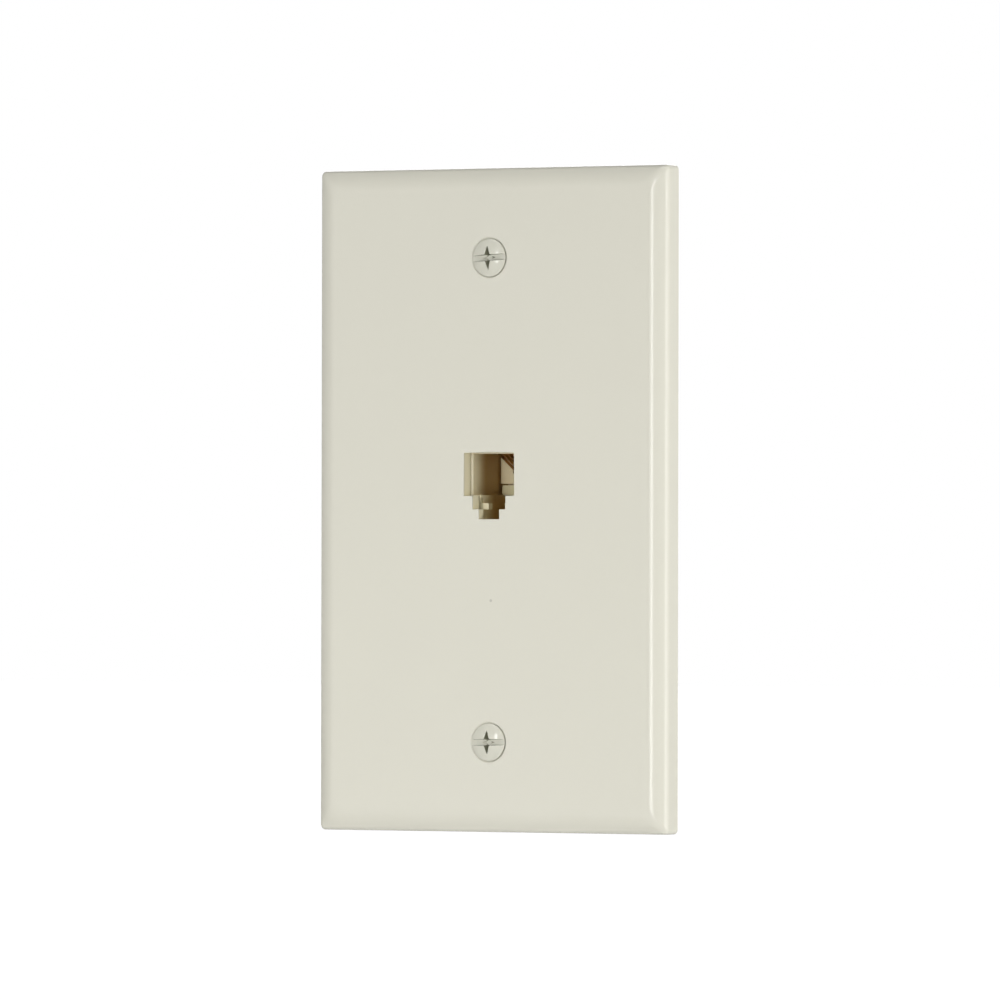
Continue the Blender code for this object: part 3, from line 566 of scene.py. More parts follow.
# %% Jack spaces
PAST_REAR = TOWER_REAR_Y + INTO
BEFORE_FRONT = JACK_FRONT_Y - INTO
INNER_Y = LEDGE_REAR_Y - INTO

for name, half, y_span, z_span in (
    ("front_space", SPACE_HALF, (BEFORE_FRONT, PAST_REAR), (SPACE_FLOOR, SPACE_CEILING)),
    ("front_latch", LATCH_HALF, (BEFORE_FRONT, LEDGE_REAR_Y), (LATCH_FLOOR, SPACE_FLOOR + INTO)),
    ("front_tab", TAB_HALF, (BEFORE_FRONT, LEDGE_REAR_Y), (DEEP_FLOOR, LATCH_FLOOR + INTO)),
    ("wide_tab", WIDE_TAB_HALF, (BEFORE_FRONT, LEDGE_REAR_Y), (DEEP_FLOOR, LEDGE_FOOT)),
    ("latch_space", LATCH_HALF, (INNER_Y, LATCH_REAR_Y), (DEEP_FLOOR, SPACE_FLOOR + INTO)),
    ("throat", SPACE_HALF, (LIP_REAR_Y, PAST_REAR), (SPACE_CEILING - INTO, SPACE_CEILING + INTO)),
    ("pocket", POCKET_HALF, (LIP_REAR_Y, PAST_REAR), (SPACE_CEILING, POCKET_TOP)),
):
    cut(jack, block(name, both_ways(half), y_span, z_span))
for side in (-1, 1):
    for z in TERMINAL_ZS:
        hole_y = (HOLE_FLOOR_Y, PAST_REAR)
        cut(jack, rod("terminal_hole", TERMINAL_HOLE_RADIUS, side * TERMINAL_X, z, hole_y, vertices=48))
    for z in STAKE_ZS:
        hole_y = (BEFORE_FRONT, FLANGE_REAR_Y + INTO)
        cut(jack, rod("stake_hole", STAKE_RADIUS + SEAT_GAP, side * STAKE_X, z, hole_y, vertices=40))


def beside_plug(corner):
    """On the two upright front edges of the plug's space."""
    return meets(abs(corner.x), SPACE_HALF) and meets(corner.y, JACK_FRONT_Y)


clean(jack)
with editing(jack):
    pick(jack, beside_plug)
    bevel(MOUTH_ROUND, 5)
soften(jack, MOULD_EDGE)
seat(jack, "ivory_jack", "jack_body")

# %% [markdown]
# The contacts ride in an insert of their own, which slides into the jack from behind. Its ceiling lies over
# the plug, its front edge is the half-round nose that the springs bend over, and its comb hangs down behind
# the plug: four slots keep the springs apart, and a foot with rounded corners closes the space below.

# %% Insert sizes
insert_low, insert_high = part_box("contact_insert")
INSERT_HALF = insert_high.x
INSERT_REAR_Y = insert_high.y
INSERT_Z = SPACE_CEILING + SEAT_GAP
INSERT_EDGE = 0.06 * MM
CEILING_THICKNESS = 1.6 * MM
NOSE_Y = JACK_FRONT_Y + 4.15 * MM
NOSE_Z = INSERT_Z + CEILING_THICKNESS / 2
BLOCK_FRONT_Y = INSERT_REAR_Y - 2.2 * MM
COMB_FRONT_Y = JACK_FRONT_Y + 9.0 * MM
COMB_HALF = SPACE_HALF - SEAT_GAP
GROOVE_Z = insert_low.z + 1.6 * MM
COMB_Z = GROOVE_Z + 0.25 * MM
GROOVE_DEPTH = 1.6 * MM
NECK_HALF = COMB_HALF - 0.5 * MM
SPRING_RADIUS = 0.23 * MM
SPRING_PITCH = 1.02 * MM
SPRING_XS = [(i - 1.5) * SPRING_PITCH for i in range(4)]
SLOT_HALF = SPRING_RADIUS + 0.15 * MM
SLOT_REAR_Y = COMB_FRONT_Y + 1.5 * MM
SLOT_TOP = INSERT_Z - 0.7 * MM
END_SLOT_EXTRA = 0.29 * MM
FOOT_HALF = COMB_HALF - 0.24 * MM
FOOT_CORNER = 0.45 * MM
FOOT_FLOOR = SPACE_FLOOR + 0.01 * MM
TIP_Z = COMB_Z + 2.1 * MM
UPPER_Z = INSERT_Z + CEILING_THICKNESS + SEAT_GAP + SPRING_RADIUS
SOCKET_DEPTH = 1.3 * MM
LEAD_RADIUS = 0.65 * MM
LEAD_PITCH = 2.2 * MM
LEAD_XS = [(i - 1.5) * LEAD_PITCH for i in range(4)]
LEAD_Z = (COMB_Z + INSERT_Z) / 2
LEAD_SOCKET_DEPTH = 1.4 * MM

# %% Insert


def on_nose(edge):
    """A front edge of the ceiling that runs across."""
    at_front = all(corner.co.y < NOSE_Y for corner in edge.verts)
    return at_front and abs(run_of(edge).x) > SMALL


insert_x = both_ways(INSERT_HALF)
ceiling_y = (NOSE_Y - CEILING_THICKNESS / 2, INSERT_REAR_Y)
insert = block("insert", insert_x, ceiling_y, (INSERT_Z, INSERT_Z + CEILING_THICKNESS))
with editing(insert):
    pick_edges(insert, on_nose)
    bevel(CEILING_THICKNESS / 2, 10)
comb_y = (COMB_FRONT_Y, INSERT_REAR_Y)
neck_y = (COMB_FRONT_Y + GROOVE_DEPTH, INSERT_REAR_Y)
foot = block("foot", both_ways(FOOT_HALF), comb_y, (FOOT_FLOOR, GROOVE_Z))
join(
    insert,
    block("rear_block", insert_x, (BLOCK_FRONT_Y, INSERT_REAR_Y), (INSERT_Z, insert_high.z)),
    block("comb", both_ways(COMB_HALF), comb_y, (COMB_Z, INSERT_Z + INTO)),
    round_edges(foot, 1, FOOT_CORNER, 5),
    block("neck", both_ways(NECK_HALF), neck_y, (GROOVE_Z - INTO, COMB_Z + INTO)),
)
for x in SPRING_XS:
    slot_x = [x - SLOT_HALF, x + SLOT_HALF]
    if x == SPRING_XS[0]:
        slot_x[0] -= END_SLOT_EXTRA
    if x == SPRING_XS[-1]:
        slot_x[1] += END_SLOT_EXTRA
    slot = block("comb_slot", slot_x, (COMB_FRONT_Y - INTO, SLOT_REAR_Y), (TIP_Z - SEAT_GAP, SLOT_TOP))
    socket_y = (BLOCK_FRONT_Y - INTO, BLOCK_FRONT_Y + SOCKET_DEPTH)
    cut(insert, slot, rod("spring_socket", SLOT_HALF, x, UPPER_Z, socket_y, vertices=24))
for x in LEAD_XS:
    socket_y = (INSERT_REAR_Y - LEAD_SOCKET_DEPTH, INSERT_REAR_Y + INTO)
    cut(insert, rod("lead_socket", LEAD_RADIUS + SEAT_GAP, x, LEAD_Z, socket_y, vertices=32))
soften(insert, INSERT_EDGE)
seat(insert, "insert_ivory", "contact_insert")

# %% [markdown]
# Each contact is a length of gold-plated spring wire. It leaves the insert's rear block, lies along the
# ceiling, turns round the nose and slopes back down into its slot. We follow that path as one would with a
# tool: a disc is extruded forward, spun round the nose and extruded down the slope. The four springs differ
# only in their place, so one function makes each of them where it belongs.

# %% Contact springs
SLOPE = math.radians(27.5)
BEND = UPPER_Z - NOSE_Z
TIP_ROUND = 0.08 * MM


def spring_wire(name, x):
    start_y = BLOCK_FRONT_Y + SOCKET_DEPTH - SEAT_GAP
    turn_angle = math.pi - SLOPE
    down = NOSE_Z + BEND * math.cos(turn_angle) - TIP_Z
    wire = disc(name, SPRING_RADIUS, (x, start_y, UPPER_Z), 20)
    with editing(wire):
        bpy.ops.mesh.select_all(action="SELECT")
        extrude(0, NOSE_Y - start_y, 0)
        bpy.ops.mesh.spin(steps=24, angle=-turn_angle, center=(x, NOSE_Y, NOSE_Z), axis=(1, 0, 0))
        extrude(0, down / math.tan(SLOPE), -down)
        bevel(TIP_ROUND, 3)
        face_outwards()
    return shade(wire)


for number, x in enumerate(SPRING_XS, 1):
    seat(spring_wire(f"spring_{number}", x), "gold_spring", f"contact_wire_{number}")

# %% [markdown]
# What is round about one axis is turned. A disc is extruded from station to station and scaled to each
# radius, as a lathe would follow a template. The mounting screws are turned, and so are the terminals' pan
# heads.

# %% Turning
POLE = 0.1  # a dome starts with a tiny disc, this share of a step across


def turned(name, stations, vertices=72):
    """A solid of revolution about the Y axis, from (place along Y, radius) at each station."""
    y, radius = stations[0]
    made = disc(name, radius, (0, y, 0), vertices)
    with editing(made):
        bpy.ops.mesh.select_all(action="SELECT")
        for next_y, next_radius in stations[1:]:
            extrude(0, next_y - y, 0)
            share = next_radius / radius
            bpy.ops.transform.resize(value=(share, 1, share), center_override=(0, next_y, 0))
            y, radius = next_y, next_radius
        face_outwards()
    return made


def dome(radius, height, top_y, direction, steps=14):
    """Stations of a low dome, from its top to its rim."""
    sphere = (radius**2 + height**2) / (2 * height)
    reach = math.asin(radius / sphere)
    angles = [reach * max(step, POLE) / steps for step in range(steps + 1)]
    return [(top_y - direction * sphere * (1 - math.cos(a)), sphere * math.sin(a)) for a in angles]


# %% [markdown]
# A screw thread is a ridge wound round a core. A triangle is swept by the Screw modifier, its two ends are
# closed, and the ridge is joined to the core. The thread is modelled once for each kind of screw.

# %% Thread
PITCH = 0.794 * MM
THREAD_HEIGHT = 0.36 * MM
RIDGE_SHARE = 0.45  # half the ridge's width, as a share of the pitch
TRIANGLE_HEIGHT = 1.5  # of an even triangle in a circle of radius 1
TRIANGLE_HALF_WIDTH = math.sin(math.radians(60))


def thread(name, outer_radius, y_span):
    """A helical ridge about the Y axis, with its base sunk into the core."""
    near, far = y_span
    turns = int((far - near) / PITCH)
    stretch = (THREAD_HEIGHT + INTO / 2) / TRIANGLE_HEIGHT
    deselect()
    bpy.ops.mesh.primitive_circle_add(
        vertices=3, radius=1, fill_type="NOTHING", rotation=(0, 0, -math.pi / 2)
    )
    ridge = settle(bpy.context.object, name)
    ridge.scale = (stretch, RIDGE_SHARE * PITCH / TRIANGLE_HALF_WIDTH, 1)
    ridge.location = (outer_radius - stretch, near, 0)
    settle(ridge, name)
    apply_modifier(ridge, "SCREW", axis="Y", screw_offset=PITCH, iterations=turns, steps=28, render_steps=28)
    with editing(ridge):
        merge_doubles()
        bpy.ops.mesh.fill_holes(sides=0)
        face_outwards()
    return ridge


# %% [markdown]
# The two mounting screws are what the eye finds first on the face. Each has a low oval head in the plate's
# colour with a recess for either driver: a slot from edge to edge, and a cross whose wings taper as they go
# down into a conical pocket. Whoever put them in left the slots nearly level, but not quite.

# %% Mounting screw sizes
HEAD_RADIUS = 3.34 * MM
HEAD_DOME = 0.78 * MM
HEAD_ROUND = 0.12 * MM
SHANK_RADIUS = 1.75 * MM
SCREW_LENGTH = 19.05 * MM
SCREW_TAPER = (0.5 * MM, 0.4 * MM)  # how long the taper at a screw's end is, and how much it takes off
SLOT_WIDTH = 1.18 * MM
SLOT_DEPTH = 0.05 * MM
SLOT_FLOOR_WIDTH = 0.94 * MM
SLOT_FLOOR_Y = FACE_Y + SLOT_DEPTH
CROSS_SPAN = 5.0 * MM
CROSS_WIDTH = 1.5 * MM
CROSS_FLOOR_SHARE = 0.4
CROSS_DEPTH = 1.2 * MM
CROSS_EDGE = 0.08 * MM
SHALLOW_DEPTH = 0.35 * MM
POCKET_RADIUS = 0.95 * MM
POCKET_FLOOR_RADIUS = 0.35 * MM
POOL_RADIUS = 0.62 * MM
POOL_TOP_SHARE = 0.7
RIM_ANGLE = math.radians(40)
RECESS_EDGE = 0.05 * MM
SCREW_TURNS = {"upper": (1, 3.0), "lower": (-1, 1.0)}  # the side, and the slot's turn in degrees

# %% Mounting screws


def wing(turn_angle, depth):
    """One blade of the cross: a long diamond at the head's top that grows smaller as it goes down."""
    blade_y = (FACE_Y - HEAD_DOME - INTO, FACE_Y + depth)
    blade = rod("wing", 1, 0, 0, blade_y, CROSS_FLOOR_SHARE, vertices=4)
    blade.scale = (CROSS_SPAN / 2, 1, CROSS_WIDTH / 2)
    settle(blade, "wing")
    blade.rotation_euler = (0, turn_angle, 0)
    settle(blade, "wing")
    return apply_modifier(blade, "BEVEL", width=CROSS_EDGE, segments=3, limit_method="ANGLE")


def on_recess_rim(edge):
    """A sharp edge on top of the head, where the recess was cut."""
    on_head = all(corner.co.y < FACE_Y + SMALL for corner in edge.verts)
    return on_head and edge.is_manifold and abs(edge.calc_face_angle()) > RIM_ANGLE


def screw_blank():
    """The head, the cone under it, and the threaded shank."""
    core_radius = SHANK_RADIUS - THREAD_HEIGHT
    tip_y = FACE_Y + SCREW_LENGTH
    taper_length, taper = SCREW_TAPER
    stations = dome(HEAD_RADIUS - 2 * HEAD_ROUND, HEAD_DOME - HEAD_ROUND, FACE_Y - HEAD_DOME, -1)
    stations += [
        (FACE_Y - HEAD_ROUND / 4, HEAD_RADIUS - HEAD_ROUND),
        (FACE_Y + HEAD_ROUND, HEAD_RADIUS - HEAD_ROUND * 0.7),
        (FACE_Y + CONE_DEPTH, SHANK_RADIUS),
        (FACE_Y + CONE_DEPTH + taper_length, core_radius),
        (tip_y - taper_length, core_radius),
        (tip_y, core_radius - taper),
    ]
    blank = turned("mounting_screw", stations, 96)
    return join(blank, thread("ridge", SHANK_RADIUS, (FACE_Y + CONE_DEPTH + PITCH, tip_y - PITCH)))


def mounting_screw():
    screw = screw_blank()
    top_y = FACE_Y - HEAD_DOME - INTO
    slot_z = both_ways(SLOT_WIDTH / 2)
    slot = block("slot", both_ways(HEAD_RADIUS + INTO), (top_y, SLOT_FLOOR_Y), slot_z)
    with editing(slot):
        pick(slot, lambda corner: meets(corner.y, SLOT_FLOOR_Y))
        narrower = (1, 1, SLOT_FLOOR_WIDTH / SLOT_WIDTH)
        bpy.ops.transform.resize(value=narrower, center_override=(0, SLOT_FLOOR_Y, 0))
    pocket = rod("pocket", POCKET_RADIUS, 0, 0, (top_y, FACE_Y + SHALLOW_DEPTH), POCKET_FLOOR_RADIUS, 48)
    cut(screw, slot, pocket, wing(0, SHALLOW_DEPTH), wing(math.pi / 2, CROSS_DEPTH))
    pool_y = (FACE_Y + SHALLOW_DEPTH, FACE_Y + CROSS_DEPTH + INTO)
    join(screw, rod("pool", POOL_RADIUS * POOL_TOP_SHARE, 0, 0, pool_y, POOL_RADIUS, 48))
    clean(screw)
    with editing(screw):
        pick_edges(screw, on_recess_rim)
        bevel(RECESS_EDGE, 2)
    return shade(screw, 30)


def copy_to(pattern, name, x, z, turn_degrees):
    """A copy with its own mesh, turned about its axis and put in place."""
    activate(pattern)
    bpy.ops.object.duplicate(linked=False)
    made = bpy.context.object
    made.rotation_euler = (0, -math.radians(turn_degrees), 0)
    made.location = (x, 0, z)
    return settle(made, name)


pattern = mounting_screw()
for place, (side, degrees) in SCREW_TURNS.items():
    screw = copy_to(pattern, f"screw_{place}", 0, side * SCREW_Z, degrees)
    seat(screw, "painted_screw", f"mounting_screw_{place}")
discard(pattern)

# %% [markdown]
# Behind the plate four terminal screws clamp the wiring. From the jack outwards each has a fork-shaped lug,
# a flat washer and a slotted pan head. The heads were tightened by hand, so each slot points another way.

# %% Terminal screws and washers
washer_low, washer_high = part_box("terminal_washer_1")
pan_low, pan_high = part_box("terminal_screw_1")
PAN_RADIUS = 3.6 * MM
PAN_HEIGHT = 2.2 * MM
PAN_DOME = 0.9 * MM
PAN_EDGE = 0.15 * MM
PAN_SLOT_WIDTH = 1.1 * MM
PAN_SLOT_DEPTH = 1.2 * MM
PAN_TURN = 35
TERMINAL_SHANK = 1.7 * MM
PLAIN_SHANK = 2 * MM  # the shank under the head is plain so far, and then thins to the thread's core
THREAD_TOP = 2.2 * MM
FULL_THREAD = 2.4 * MM
WASHER_RADIUS = 3.8 * MM
WASHER_EDGE = 0.1 * MM


def terminal_screw():
    head_y = pan_high.y - PAN_HEIGHT
    core_radius = TERMINAL_SHANK - THREAD_HEIGHT
    taper_length, taper = SCREW_TAPER
    stations = dome(PAN_RADIUS, PAN_DOME, pan_high.y, 1)
    stations += [
        (head_y + PAN_EDGE, PAN_RADIUS),
        (head_y, PAN_RADIUS - PAN_EDGE),
        (head_y - 0.01 * MM, TERMINAL_SHANK),
        (head_y - PLAIN_SHANK, TERMINAL_SHANK),
        (head_y - FULL_THREAD, core_radius),
        (pan_low.y + taper_length, core_radius),
        (pan_low.y, core_radius - taper),
    ]
    screw = turned("terminal_screw", stations)
    join(screw, thread("ridge", TERMINAL_SHANK, (pan_low.y + PITCH / 2, head_y - THREAD_TOP)))
    slot_y = (pan_high.y - PAN_SLOT_DEPTH, pan_high.y + INTO)
    cut(screw, block("slot", both_ways(PAN_RADIUS + INTO), slot_y, both_ways(PAN_SLOT_WIDTH / 2)))
    clean(screw)
    return shade(screw, 30)


def washer():
    ring = rod("washer", WASHER_RADIUS, 0, 0, (washer_low.y, washer_high.y), vertices=72)
    hole_y = (washer_low.y - INTO, washer_high.y + INTO)
    cut(ring, rod("washer_hole", TERMINAL_SHANK + SEAT_GAP, 0, 0, hole_y))
    return soften(ring, WASHER_EDGE, 3)


# %% [markdown]
# A lug is stamped from sheet and tinned. Its fork goes round the screw, and at the end of its tail the
# sheet is rolled into a barrel, with a seam along it, and crimped on the lead. The crimping tool left two
# dents.

# %% Lugs
LUG_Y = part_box("lug_black")[0].y
LUG_RADIUS = 3.6 * MM
LUG_THICKNESS = 0.7 * MM
LUG_TAIL_HALF = 1.2 * MM
LUG_EDGE = 0.05 * MM
BARREL_RADIUS = 1.3 * MM
BARREL_LIFT = 0.02 * MM  # keeps the round barrel clear of the tail's flat underside
BARREL_Y = LUG_Y + BARREL_RADIUS + BARREL_LIFT
BARREL_START = LUG_RADIUS + 1.6 * MM
BARREL_LENGTH = 4.0 * MM
BARREL_END = BARREL_START + BARREL_LENGTH
SEAM_HALF = 0.06 * MM
DENT_RADIUS = 1.6 * MM
DENT_DEPTH = 0.22 * MM
DENT_PLACES = (0.32, 0.7)  # as shares of the barrel's length


def rod_along_x(name, radius, x_span, y, vertices=48):
    made = rod(name, radius, 0, 0, (0, x_span[1] - x_span[0]), vertices=vertices)
    made.rotation_euler = (0, 0, -math.pi / 2)
    made.location = (x_span[0], y, 0)
    return settle(made, name)


def lug():
    """The lug lies in the plane of X and Z with its screw at the origin and its tail along X."""
    flat_y = (LUG_Y, LUG_Y + LUG_THICKNESS)
    through_y = (LUG_Y - INTO, LUG_Y + LUG_THICKNESS + INTO)
    through_x = (BARREL_START - INTO, BARREL_END + INTO)
    hole_radius = TERMINAL_SHANK + SEAT_GAP
    fork = rod("fork", LUG_RADIUS, 0, 0, flat_y, vertices=72)
    join(fork, block("tail", (LUG_RADIUS - 2 * INTO, BARREL_END), flat_y, both_ways(LUG_TAIL_HALF)))
    join(fork, rod_along_x("barrel", BARREL_RADIUS, (BARREL_START, BARREL_END), BARREL_Y))
    mouth = block("fork_mouth", (-LUG_RADIUS - INTO, 0), through_y, both_ways(hole_radius))
    cut(fork, rod("fork_hole", hole_radius, 0, 0, through_y), mouth)
    cut(fork, rod_along_x("bore", LEAD_RADIUS + SEAT_GAP, through_x, BARREL_Y))
    seam_y = (BARREL_Y + LEAD_RADIUS, BARREL_Y + BARREL_RADIUS + INTO)
    cut(fork, block("seam", through_x, seam_y, both_ways(SEAM_HALF)))
    for share in DENT_PLACES:
        dent = rod("dent", DENT_RADIUS, 0, 0, both_ways(LUG_RADIUS), vertices=64)
        dent.rotation_euler = (math.pi / 2, 0, 0)
        dent_y = BARREL_Y + BARREL_RADIUS + DENT_RADIUS - DENT_DEPTH
        dent.location = (BARREL_START + share * BARREL_LENGTH, dent_y, 0)
        cut(fork, settle(dent, "dent"))
    return soften(fork, LUG_EDGE)


# %% [markdown]
# Four insulated leads cross over from the insert to their lugs. Each is one smooth line through five
# places: deep in its socket, straight out of it, over the middle, just before its barrel, and deep in the
# barrel. A curve with a round bevel gives the insulation its thickness, and it is made a mesh at the end.

# %% Leads
UPPER_AIM = Vector((3.3 * MM, 0, LEAD_Z + LUG_RADIUS))
LOWER_AIM = Vector((1.55 * MM, 0, LEAD_Z - LUG_RADIUS))
LEAD_STRAIGHT = 0.9 * MM
INTO_BARREL = 2.6 * MM
LEADS = (("black", -1, 0), ("yellow", -1, 1), ("green", 1, 1), ("red", 1, 0))


def lug_angle(side, z):
    """The direction of a lug's tail, from +X towards +Z."""
    aim = UPPER_AIM if z > 0 else LOWER_AIM
    return math.atan2(aim.z - z, side * aim.x - side * TERMINAL_X)


def lead_route(x, side, z):
    """The five places, from the insert to the lug at this terminal."""
    angle = lug_angle(side, z)
    toward = Vector((math.cos(angle), 0, math.sin(angle)))
    mouth = Vector((side * TERMINAL_X, BARREL_Y, z)) + toward * BARREL_END
    start = Vector((x, INSERT_REAR_Y - LEAD_SOCKET_DEPTH + SEAT_GAP, LEAD_Z))
    leave = Vector((x, INSERT_REAR_Y + LEAD_STRAIGHT, LEAD_Z))
    near = mouth + toward * LEAD_STRAIGHT
    middle = (leave + near) / 2
    middle.y = BARREL_Y + LEAD_RADIUS
    return [start, leave, middle, near, mouth - toward * INTO_BARREL]


def lead(name, route):
    slopes = [route[1] - route[0]]
    slopes += [(after - before) / 2 for before, after in zip(route, route[2:])]
    slopes.append(route[-1] - route[-2])
    curve = bpy.data.curves.new(name, "CURVE")
    curve.dimensions = "3D"
    curve.resolution_u = 10
    curve.bevel_depth = LEAD_RADIUS
    curve.bevel_resolution = 6
    curve.use_fill_caps = True
    spline = curve.splines.new("BEZIER")
    spline.bezier_points.add(len(route) - 1)
    for point, place, slope in zip(spline.bezier_points, route, slopes):
        point.co = place
        point.handle_left = place - slope / 3
        point.handle_right = place + slope / 3
    made = bpy.data.objects.new(name, curve)
    bpy.context.scene.collection.objects.link(made)
    activate(made)
    bpy.ops.object.convert(target="MESH")
    with editing(made):
        merge_doubles()
    return shade(made, 50)


# %% Terminals
screw_pattern, washer_pattern, lug_pattern = terminal_screw(), washer(), lug()
for number, ((colour, side, row), x) in enumerate(zip(LEADS, LEAD_XS), 1):
    z = TERMINAL_ZS[row]
    place = (side * TERMINAL_X, z)
    pan_screw = copy_to(screw_pattern, f"pan_screw_{number}", *place, PAN_TURN * number)
    flat_washer = copy_to(washer_pattern, f"washer_{number}", *place, 0)
    fork_lug = copy_to(lug_pattern, f"fork_lug_{colour}", *place, math.degrees(lug_angle(side, z)))
    wire = lead(f"wire_{colour}", lead_route(x, side, z))
    seat(pan_screw, "nickel_terminal", f"terminal_screw_{number}")
    seat(flat_washer, "nickel_terminal", f"terminal_washer_{number}")
    seat(fork_lug, "tinned_lug", f"lug_{colour}")
    seat(wire, f"insulation_{colour}", f"lead_{colour}")
for pattern in (screw_pattern, washer_pattern, lug_pattern):
    discard(pattern)

# %% [markdown]
# Finishes are node trees, but we write them as sums. A small class wraps a socket, so that adding or
# multiplying two of them puts a Math node between them. Any other node comes from one method, which sets
# what the node is first and then fills its sockets.

# %% Shader sums


class Value:
    """A socket of a finish's node tree, with Python's operators as Math nodes."""

    def __init__(self, finish, socket):
        self.finish = finish
        self.socket = socket

    def math(self, operation, *inputs):
        return self.finish.node("ShaderNodeMath", {"operation": operation}, dict(enumerate(inputs)))

    def __add__(self, other):
        return self.math("ADD", self, other)

    def __radd__(self, other):
        return self.math("ADD", other, self)

    def __sub__(self, other):
        return self.math("SUBTRACT", self, other)

    def __rsub__(self, other):
        return self.math("SUBTRACT", other, self)

    def __mul__(self, other):
        return self.math("MULTIPLY", self, other)

    def __rmul__(self, other):
        return self.math("MULTIPLY", other, self)

    def __abs__(self):
        return self.math("ABSOLUTE", self)


# %% Finishes
SPOT_CORE = 0.4  # a spot is at its full strength within this share of its radius


class Finish:
    """A material round one Principled shader. What is the same all over is set on its own sockets."""

    def __init__(self, name, colour, roughness, metallic=0.0, **constants):
        self.material = bpy.data.materials.new(name)
        self.material.use_nodes = True
        self.tree = self.material.node_tree
        self.shader = self.tree.nodes["Principled BSDF"]
        self.colour = (*colour, 1)
        self.shader.inputs["Base Color"].default_value = self.colour
        self.shader.inputs["Roughness"].default_value = roughness
        self.shader.inputs["Metallic"].default_value = metallic
        for key, value in constants.items():
            self.input(key).default_value = value
        self.place = self.node("ShaderNodeTexCoord", output="Object")

    def input(self, key):
        """The shader's socket with this name, such as base_color."""
        return self.shader.inputs[key.replace("_", " ").title()]

    def node(self, kind, settings=None, inputs=None, output=0):
        made = self.tree.nodes.new(kind)
        for key, value in (settings or {}).items():
            setattr(made, key, value)
        for key, value in (inputs or {}).items():
            if isinstance(value, Value):
                self.tree.links.new(value.socket, made.inputs[key])
            else:
                made.inputs[key].default_value = value
        return Value(self, made.outputs[output])

    def feed(self, **values):
        for key, value in values.items():
            self.tree.links.new(value.socket, self.input(key))

    def axes(self):
        """The place's X, Y and Z."""
        return [self.node("ShaderNodeSeparateXYZ", inputs={0: self.place}, output=axis) for axis in "XYZ"]

    def noise(self, size, detail=2.0, roughness=0.5):
        """Cloudy noise about 0.5, with patches of about this size."""
        inputs = {"Vector": self.place, "Scale": 1 / size, "Detail": detail, "Roughness": roughness}
        return self.node("ShaderNodeTexNoise", inputs=inputs)

    def mix(self, share, first, second):
        """Between two colours by a share from 0 to 1."""
        inputs = {0: share, 6: first, 7: second}
        return self.node("ShaderNodeMix", {"data_type": "RGBA"}, inputs, output=2)

    def ramp(self, value, low, high):
        """0 below low, 1 above high, and smooth between."""
        inputs = {"Value": value, "From Min": low, "From Max": high}
        return self.node("ShaderNodeMapRange", {"interpolation_type": "SMOOTHSTEP"}, inputs)

    def fade(self, value, low, high):
        """1 below low, 0 above high, and smooth between."""
        return 1 - self.ramp(value, low, high)

    def bump(self, height, depth):
        """A relief of so many metres, as a normal."""
        inputs = {"Height": height, "Distance": depth, "Strength": 1.0}
        return self.node("ShaderNodeBump", inputs=inputs, output="Normal")

    def scaled(self, share):
        """The finish's own colour, darker or lighter by one factor."""
        return (*[min(1.0, channel * share) for channel in self.colour[:3]], 1)

    def spot(self, middle, radius):
        """1 within a small round spot, 0 outside it."""
        inputs = {0: self.place, 1: middle}
        far = self.node("ShaderNodeVectorMath", {"operation": "DISTANCE"}, inputs, output="Value")
        return self.fade(far, radius * SPOT_CORE, radius)

    def wear(self, *names):
        """Gives the finish to pieces by name."""
        for name in names:
            mesh = bpy.data.objects[name].data
            mesh.materials.clear()
            mesh.materials.append(self.material)


# %% [markdown]
# The plate is light almond plastic, glossy enough to draw a thin line of light along each rounded edge. A
# moulded face is never quite even, so the colour drifts by a hundredth over a few centimetres, and a relief
# of a thousandth of a millimetre keeps the reflections alive. Inside the mouth the almond is painted warmer
# and lighter, as painted light for what the ivory jack throws back, and a painted shadow turns it brown at
# the back edge, where the plate meets the jack. A dark speck no larger than half a millimetre sits below the
# jack, as on the real one.

# %% Almond plastic
ALMOND = (0.685, 0.67, 0.578)
# painted light: a warmer, lighter almond inside the mouth, for light thrown back by the ivory jack
BOUNCE_LIT_ALMOND = (0.85, 0.80, 0.59, 1)
# painted shadow in the gap where the plate's back edge meets the jack
GAP_SHADOW_BROWN = (0.32, 0.27, 0.17, 1)
GAP_SHADOW_SHARE = 0.45
JACK_SIDES = (5.3 * MM, 5.6 * MM)  # where the warm zone ends, as the start and the end of a fade
JACK_MIDDLE_Z = 2.4 * MM
JACK_REACH = (6 * MM, 6.3 * MM)
SPECK = (0.46 * MM, FACE_Y, -17.3 * MM)
SPECK_RADIUS = 0.35 * MM
SPECK_SHARE = 0.4

almond = Finish("almond_plastic", ALMOND, 0.2)
x, y, z = almond.axes()
tint = almond.mix(almond.noise(35 * MM), almond.scaled(0.99), almond.scaled(1.01))
by_jack = almond.fade(abs(x), *JACK_SIDES) * almond.fade(abs(z - JACK_MIDDLE_Z), *JACK_REACH)
# painted light: inside the mouth, beside the jack, the almond is made warmer and lighter
inside = almond.ramp(y, FACE_Y + 0.1 * MM, FACE_Y + 0.4 * MM)
tint = almond.mix(inside * by_jack, tint, BOUNCE_LIT_ALMOND)
# painted shadow: the mouth's walls go brown towards the plate's back, at the gap to the jack
in_gap_shadow = almond.ramp(y, PLATE_BACK_Y - 0.6 * MM, PLATE_BACK_Y)
tint = almond.mix(in_gap_shadow * by_jack * GAP_SHADOW_SHARE, tint, GAP_SHADOW_BROWN)
tint = almond.mix(almond.spot(SPECK, SPECK_RADIUS) * SPECK_SHARE, tint, almond.scaled(0.35))
almond.feed(
    base_color=tint,
    roughness=almond.noise(6 * MM) * 0.04 + 0.18,
    normal=almond.bump(almond.noise(1.2 * MM), 0.001 * MM),
)
almond.wear("plate")
